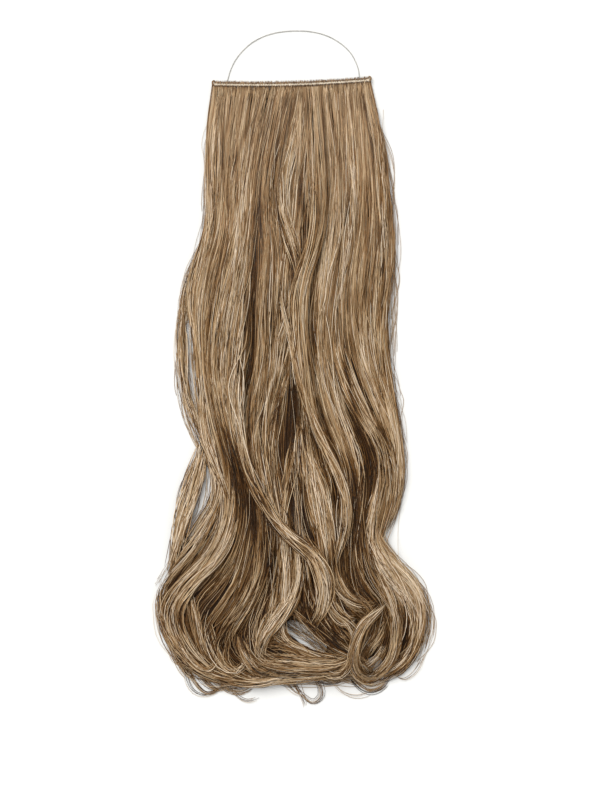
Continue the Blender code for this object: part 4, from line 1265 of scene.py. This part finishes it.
def foldHairs(x, way, rng):
    # the turn of the weft from the back row to the front one
    turn = np.linspace(-0.65 * np.pi, 0.65 * np.pi, 12)
    radius = seam["foldRadius"]
    middle = seamY + seamWave(x) + 0.0009
    count = seam["foldHairs"]
    points = np.empty((count, len(turn), 3))
    lean = seam["foldThickness"] * rng.uniform(-1, 1, (count, 1))
    points[:, :, 0] = x + way * ((radius + lean) * np.cos(turn) + 0.0002)
    points[:, :, 1] = middle + (1.35 * radius + lean) * np.sin(turn)
    points[:, :, 2] = 0.0022 + 0.0014 * rng.random((count, 1)) - 0.0003 * np.sin(turn)
    flat = np.ones(points.shape[:2])
    shade = (0.42 + 0.16 * rng.standard_normal((count, 1))) * flat
    return points, shade, seam["age"] * flat, seam["hairRadius"] * flat


def addSeamHair():
    rng = np.random.default_rng(21)
    top = layout["headHeight"]
    backRows = ((-0.0001, headTop), (0.0005, 0.0032), (0.5 * top, 0.0025), (top, 0.0021),
                (top + 0.0005, 0.0012))
    frontRows = ((-0.0011, headTop), (-0.0019, headTop - 0.0003), (-0.0034, 0.0040), (-0.0060, 0.0038),
                 (-0.0085, 0.0034))
    bundles = [shortHairs(backRows, seam["backTones"], 0.0009, rng),
               shortHairs(frontRows, seam["frontTones"], 0.0090, rng),
               foldHairs(seamLeft, -1, rng), foldHairs(seamLeft + layout["seamWidth"], 1, rng)]
    strandMesh("seam_hair", bundles, rng)


def addStitches():
    rng = np.random.default_rng(22)
    across = np.arange(seamLeft + 0.001, seamLeft + layout["seamWidth"] - 0.001, seam["stitchSpacing"])
    across = across + 0.0002 * rng.standard_normal(len(across))
    lean = seam["stitchLean"]
    points = np.empty((len(across), 4, 3))
    points[:, :, 0] = across[:, None] + lean * np.array([-1, -0.4, 0.4, 1])
    points[:, :, 1] = (seamY + seamWave(across))[:, None] + np.array([0.0004, 0.0000, -0.0008, -0.0013])
    points[:, :, 2] = headTop - 0.0002 + np.array([-0.0006, 0.0002, 0.0002, -0.0006])
    flat = np.ones(points.shape[:2])
    strandMesh("seam_stitches", [(points, 0.5 * flat, 0.5 * flat, seam["threadRadius"] * flat)], rng,
               creamThread)


addSeamHair()
addStitches()


# The body of the mass under the strands, dark with painted shade: a copy of the solid, softened and
# drawn in a little

core = {
    "voxel": 0.0030,
    "inset": 0.0030,
    "smoothing": 8,
    "height": 0.68,        # share of the solid's height
    "rootHeight": 0.36,    # and by the seam
    "rootLength": 0.3,     # share of the hair's length over which it rises
    "foot": 0.0004,
    "gapShare": 1.35,      # how much wider than the gaps it is cut
    "cutterEnds": (-0.02, 0.06),
    "underWisp": ((-394, 350, 10), (-396, 400, 24), (-394, 450, 32), (-384, 510, 30), (-360, 560, 20),
                  (-345, 590, 10)),
}


def addCutter(points):
    # an upright block over a gap
    path = widePath(points)
    side = directions(path[:, :2])[1] * core["gapShare"] * path[:, 2:]
    ring = np.vstack([path[:, :2] + side, (path[:, :2] - side)[::-1]])
    count = len(ring)
    corners = [(x, y, z) for z in core["cutterEnds"] for x, y in ring]
    faces = [tuple(range(count))[::-1], tuple(range(count, 2 * count))]
    faces += [(k, (k + 1) % count, count + (k + 1) % count, count + k) for k in range(count)]
    mesh = bpy.data.meshes.new("cutter")
    mesh.from_pydata(corners, [], faces)
    made = bpy.data.objects.new("cutter", mesh)
    bpy.context.scene.collection.objects.link(made)
    return made


def addCore():
    cutters = [addCutter(points) for points in (*gaps, core["underWisp"])]
    deselectAll()
    made = hairSolid.copy()
    made.data = hairSolid.data.copy()
    made.name = "hair_core"
    bpy.context.scene.collection.objects.link(made)
    for key in list(made.keys()):
        if key.startswith("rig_"):
            del made[key]
    made.data.materials.clear()
    made.data.materials.append(hairShadow)
    made.select_set(True)
    bpy.context.view_layer.objects.active = made
    bpy.ops.object.mode_set(mode="EDIT")
    bpy.ops.mesh.select_all(action="SELECT")
    bpy.ops.mesh.remove_doubles(threshold=0.00001)
    bpy.ops.object.mode_set(mode="OBJECT")
    for cutter in cutters:
        opened = made.modifiers.new("open gap", "BOOLEAN")
        opened.operation = "DIFFERENCE"
        opened.solver = "EXACT"
        opened.object = cutter
    grid = made.modifiers.new("even faces", "REMESH")
    grid.mode = "VOXEL"
    grid.voxel_size = core["voxel"]
    soft = made.modifiers.new("soften", "SMOOTH")
    soft.iterations = core["smoothing"]
    for modifier in list(made.modifiers):
        bpy.ops.object.modifier_apply(modifier=modifier.name)
    for cutter in cutters:
        bpy.data.objects.remove(cutter)
    corners = np.array([v.co[:] for v in made.data.vertices])
    outward = np.array([v.normal[:] for v in made.data.vertices])
    fromSeam = (seamY - corners[:, 1]) / layout["hairLength"]
    rise = np.clip(fromSeam / core["rootLength"], 0, 1)
    corners[:, :2] -= core["inset"] * outward[:, :2]
    flatter = core["rootHeight"] + (core["height"] - core["rootHeight"]) * rise
    corners[:, 2] = core["foot"] + flatter * np.maximum(corners[:, 2], 0)
    made.data.vertices.foreach_set("co", corners.ravel())
    made.data.update()
    bpy.ops.object.shade_smooth()
    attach(made, "root")
    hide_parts("hair")
    print("core faces:", len(made.data.polygons))


addCore()


# The sewn heads keep their solids, with the look of hair folded over and sewn

for name, finish in (("weft_track_back", taupeHead), ("weft_track_front", creamHead)):
    solid = bpy.data.objects[name]
    solid.data.materials.clear()
    solid.data.materials.append(finish)


# Floor and light

studio = {
    "floorSize": 8.0,
    "floorTone": "#d6d6d4",
    "skyTone": "#f6f5f3",
    "skyStrength": 0.72,
    "sunStrength": 3.6,
    "sunAngle": 50,
    "sunTurn": (-28, -20, 0),
}


def addStudio():
    deselectAll()
    bpy.ops.mesh.primitive_plane_add(size=studio["floorSize"], location=(0, 0, -0.0002))
    floor = bpy.context.object
    floor.name = "floor"
    paper, tree, shader = newMaterial("matte white paper")
    setNode(shader, Base_Color=colour(studio["floorTone"]), Roughness=0.9)
    floor.data.materials.append(paper)
    bpy.ops.object.light_add(type="SUN", location=(0, 0, 2))
    sun = bpy.context.object
    sun.data.energy = studio["sunStrength"]
    sun.data.angle = math.radians(studio["sunAngle"])
    sun.rotation_euler = [math.radians(a) for a in studio["sunTurn"]]
    world = bpy.data.worlds.new("studio")
    bpy.context.scene.world = world
    world.use_nodes = True
    sky = world.node_tree.nodes["Background"]
    sky.inputs["Color"].default_value = colour(studio["skyTone"])
    sky.inputs["Strength"].default_value = studio["skyStrength"]
    bpy.context.scene.view_settings.view_transform = "Standard"


addStudio()
print("studio set")
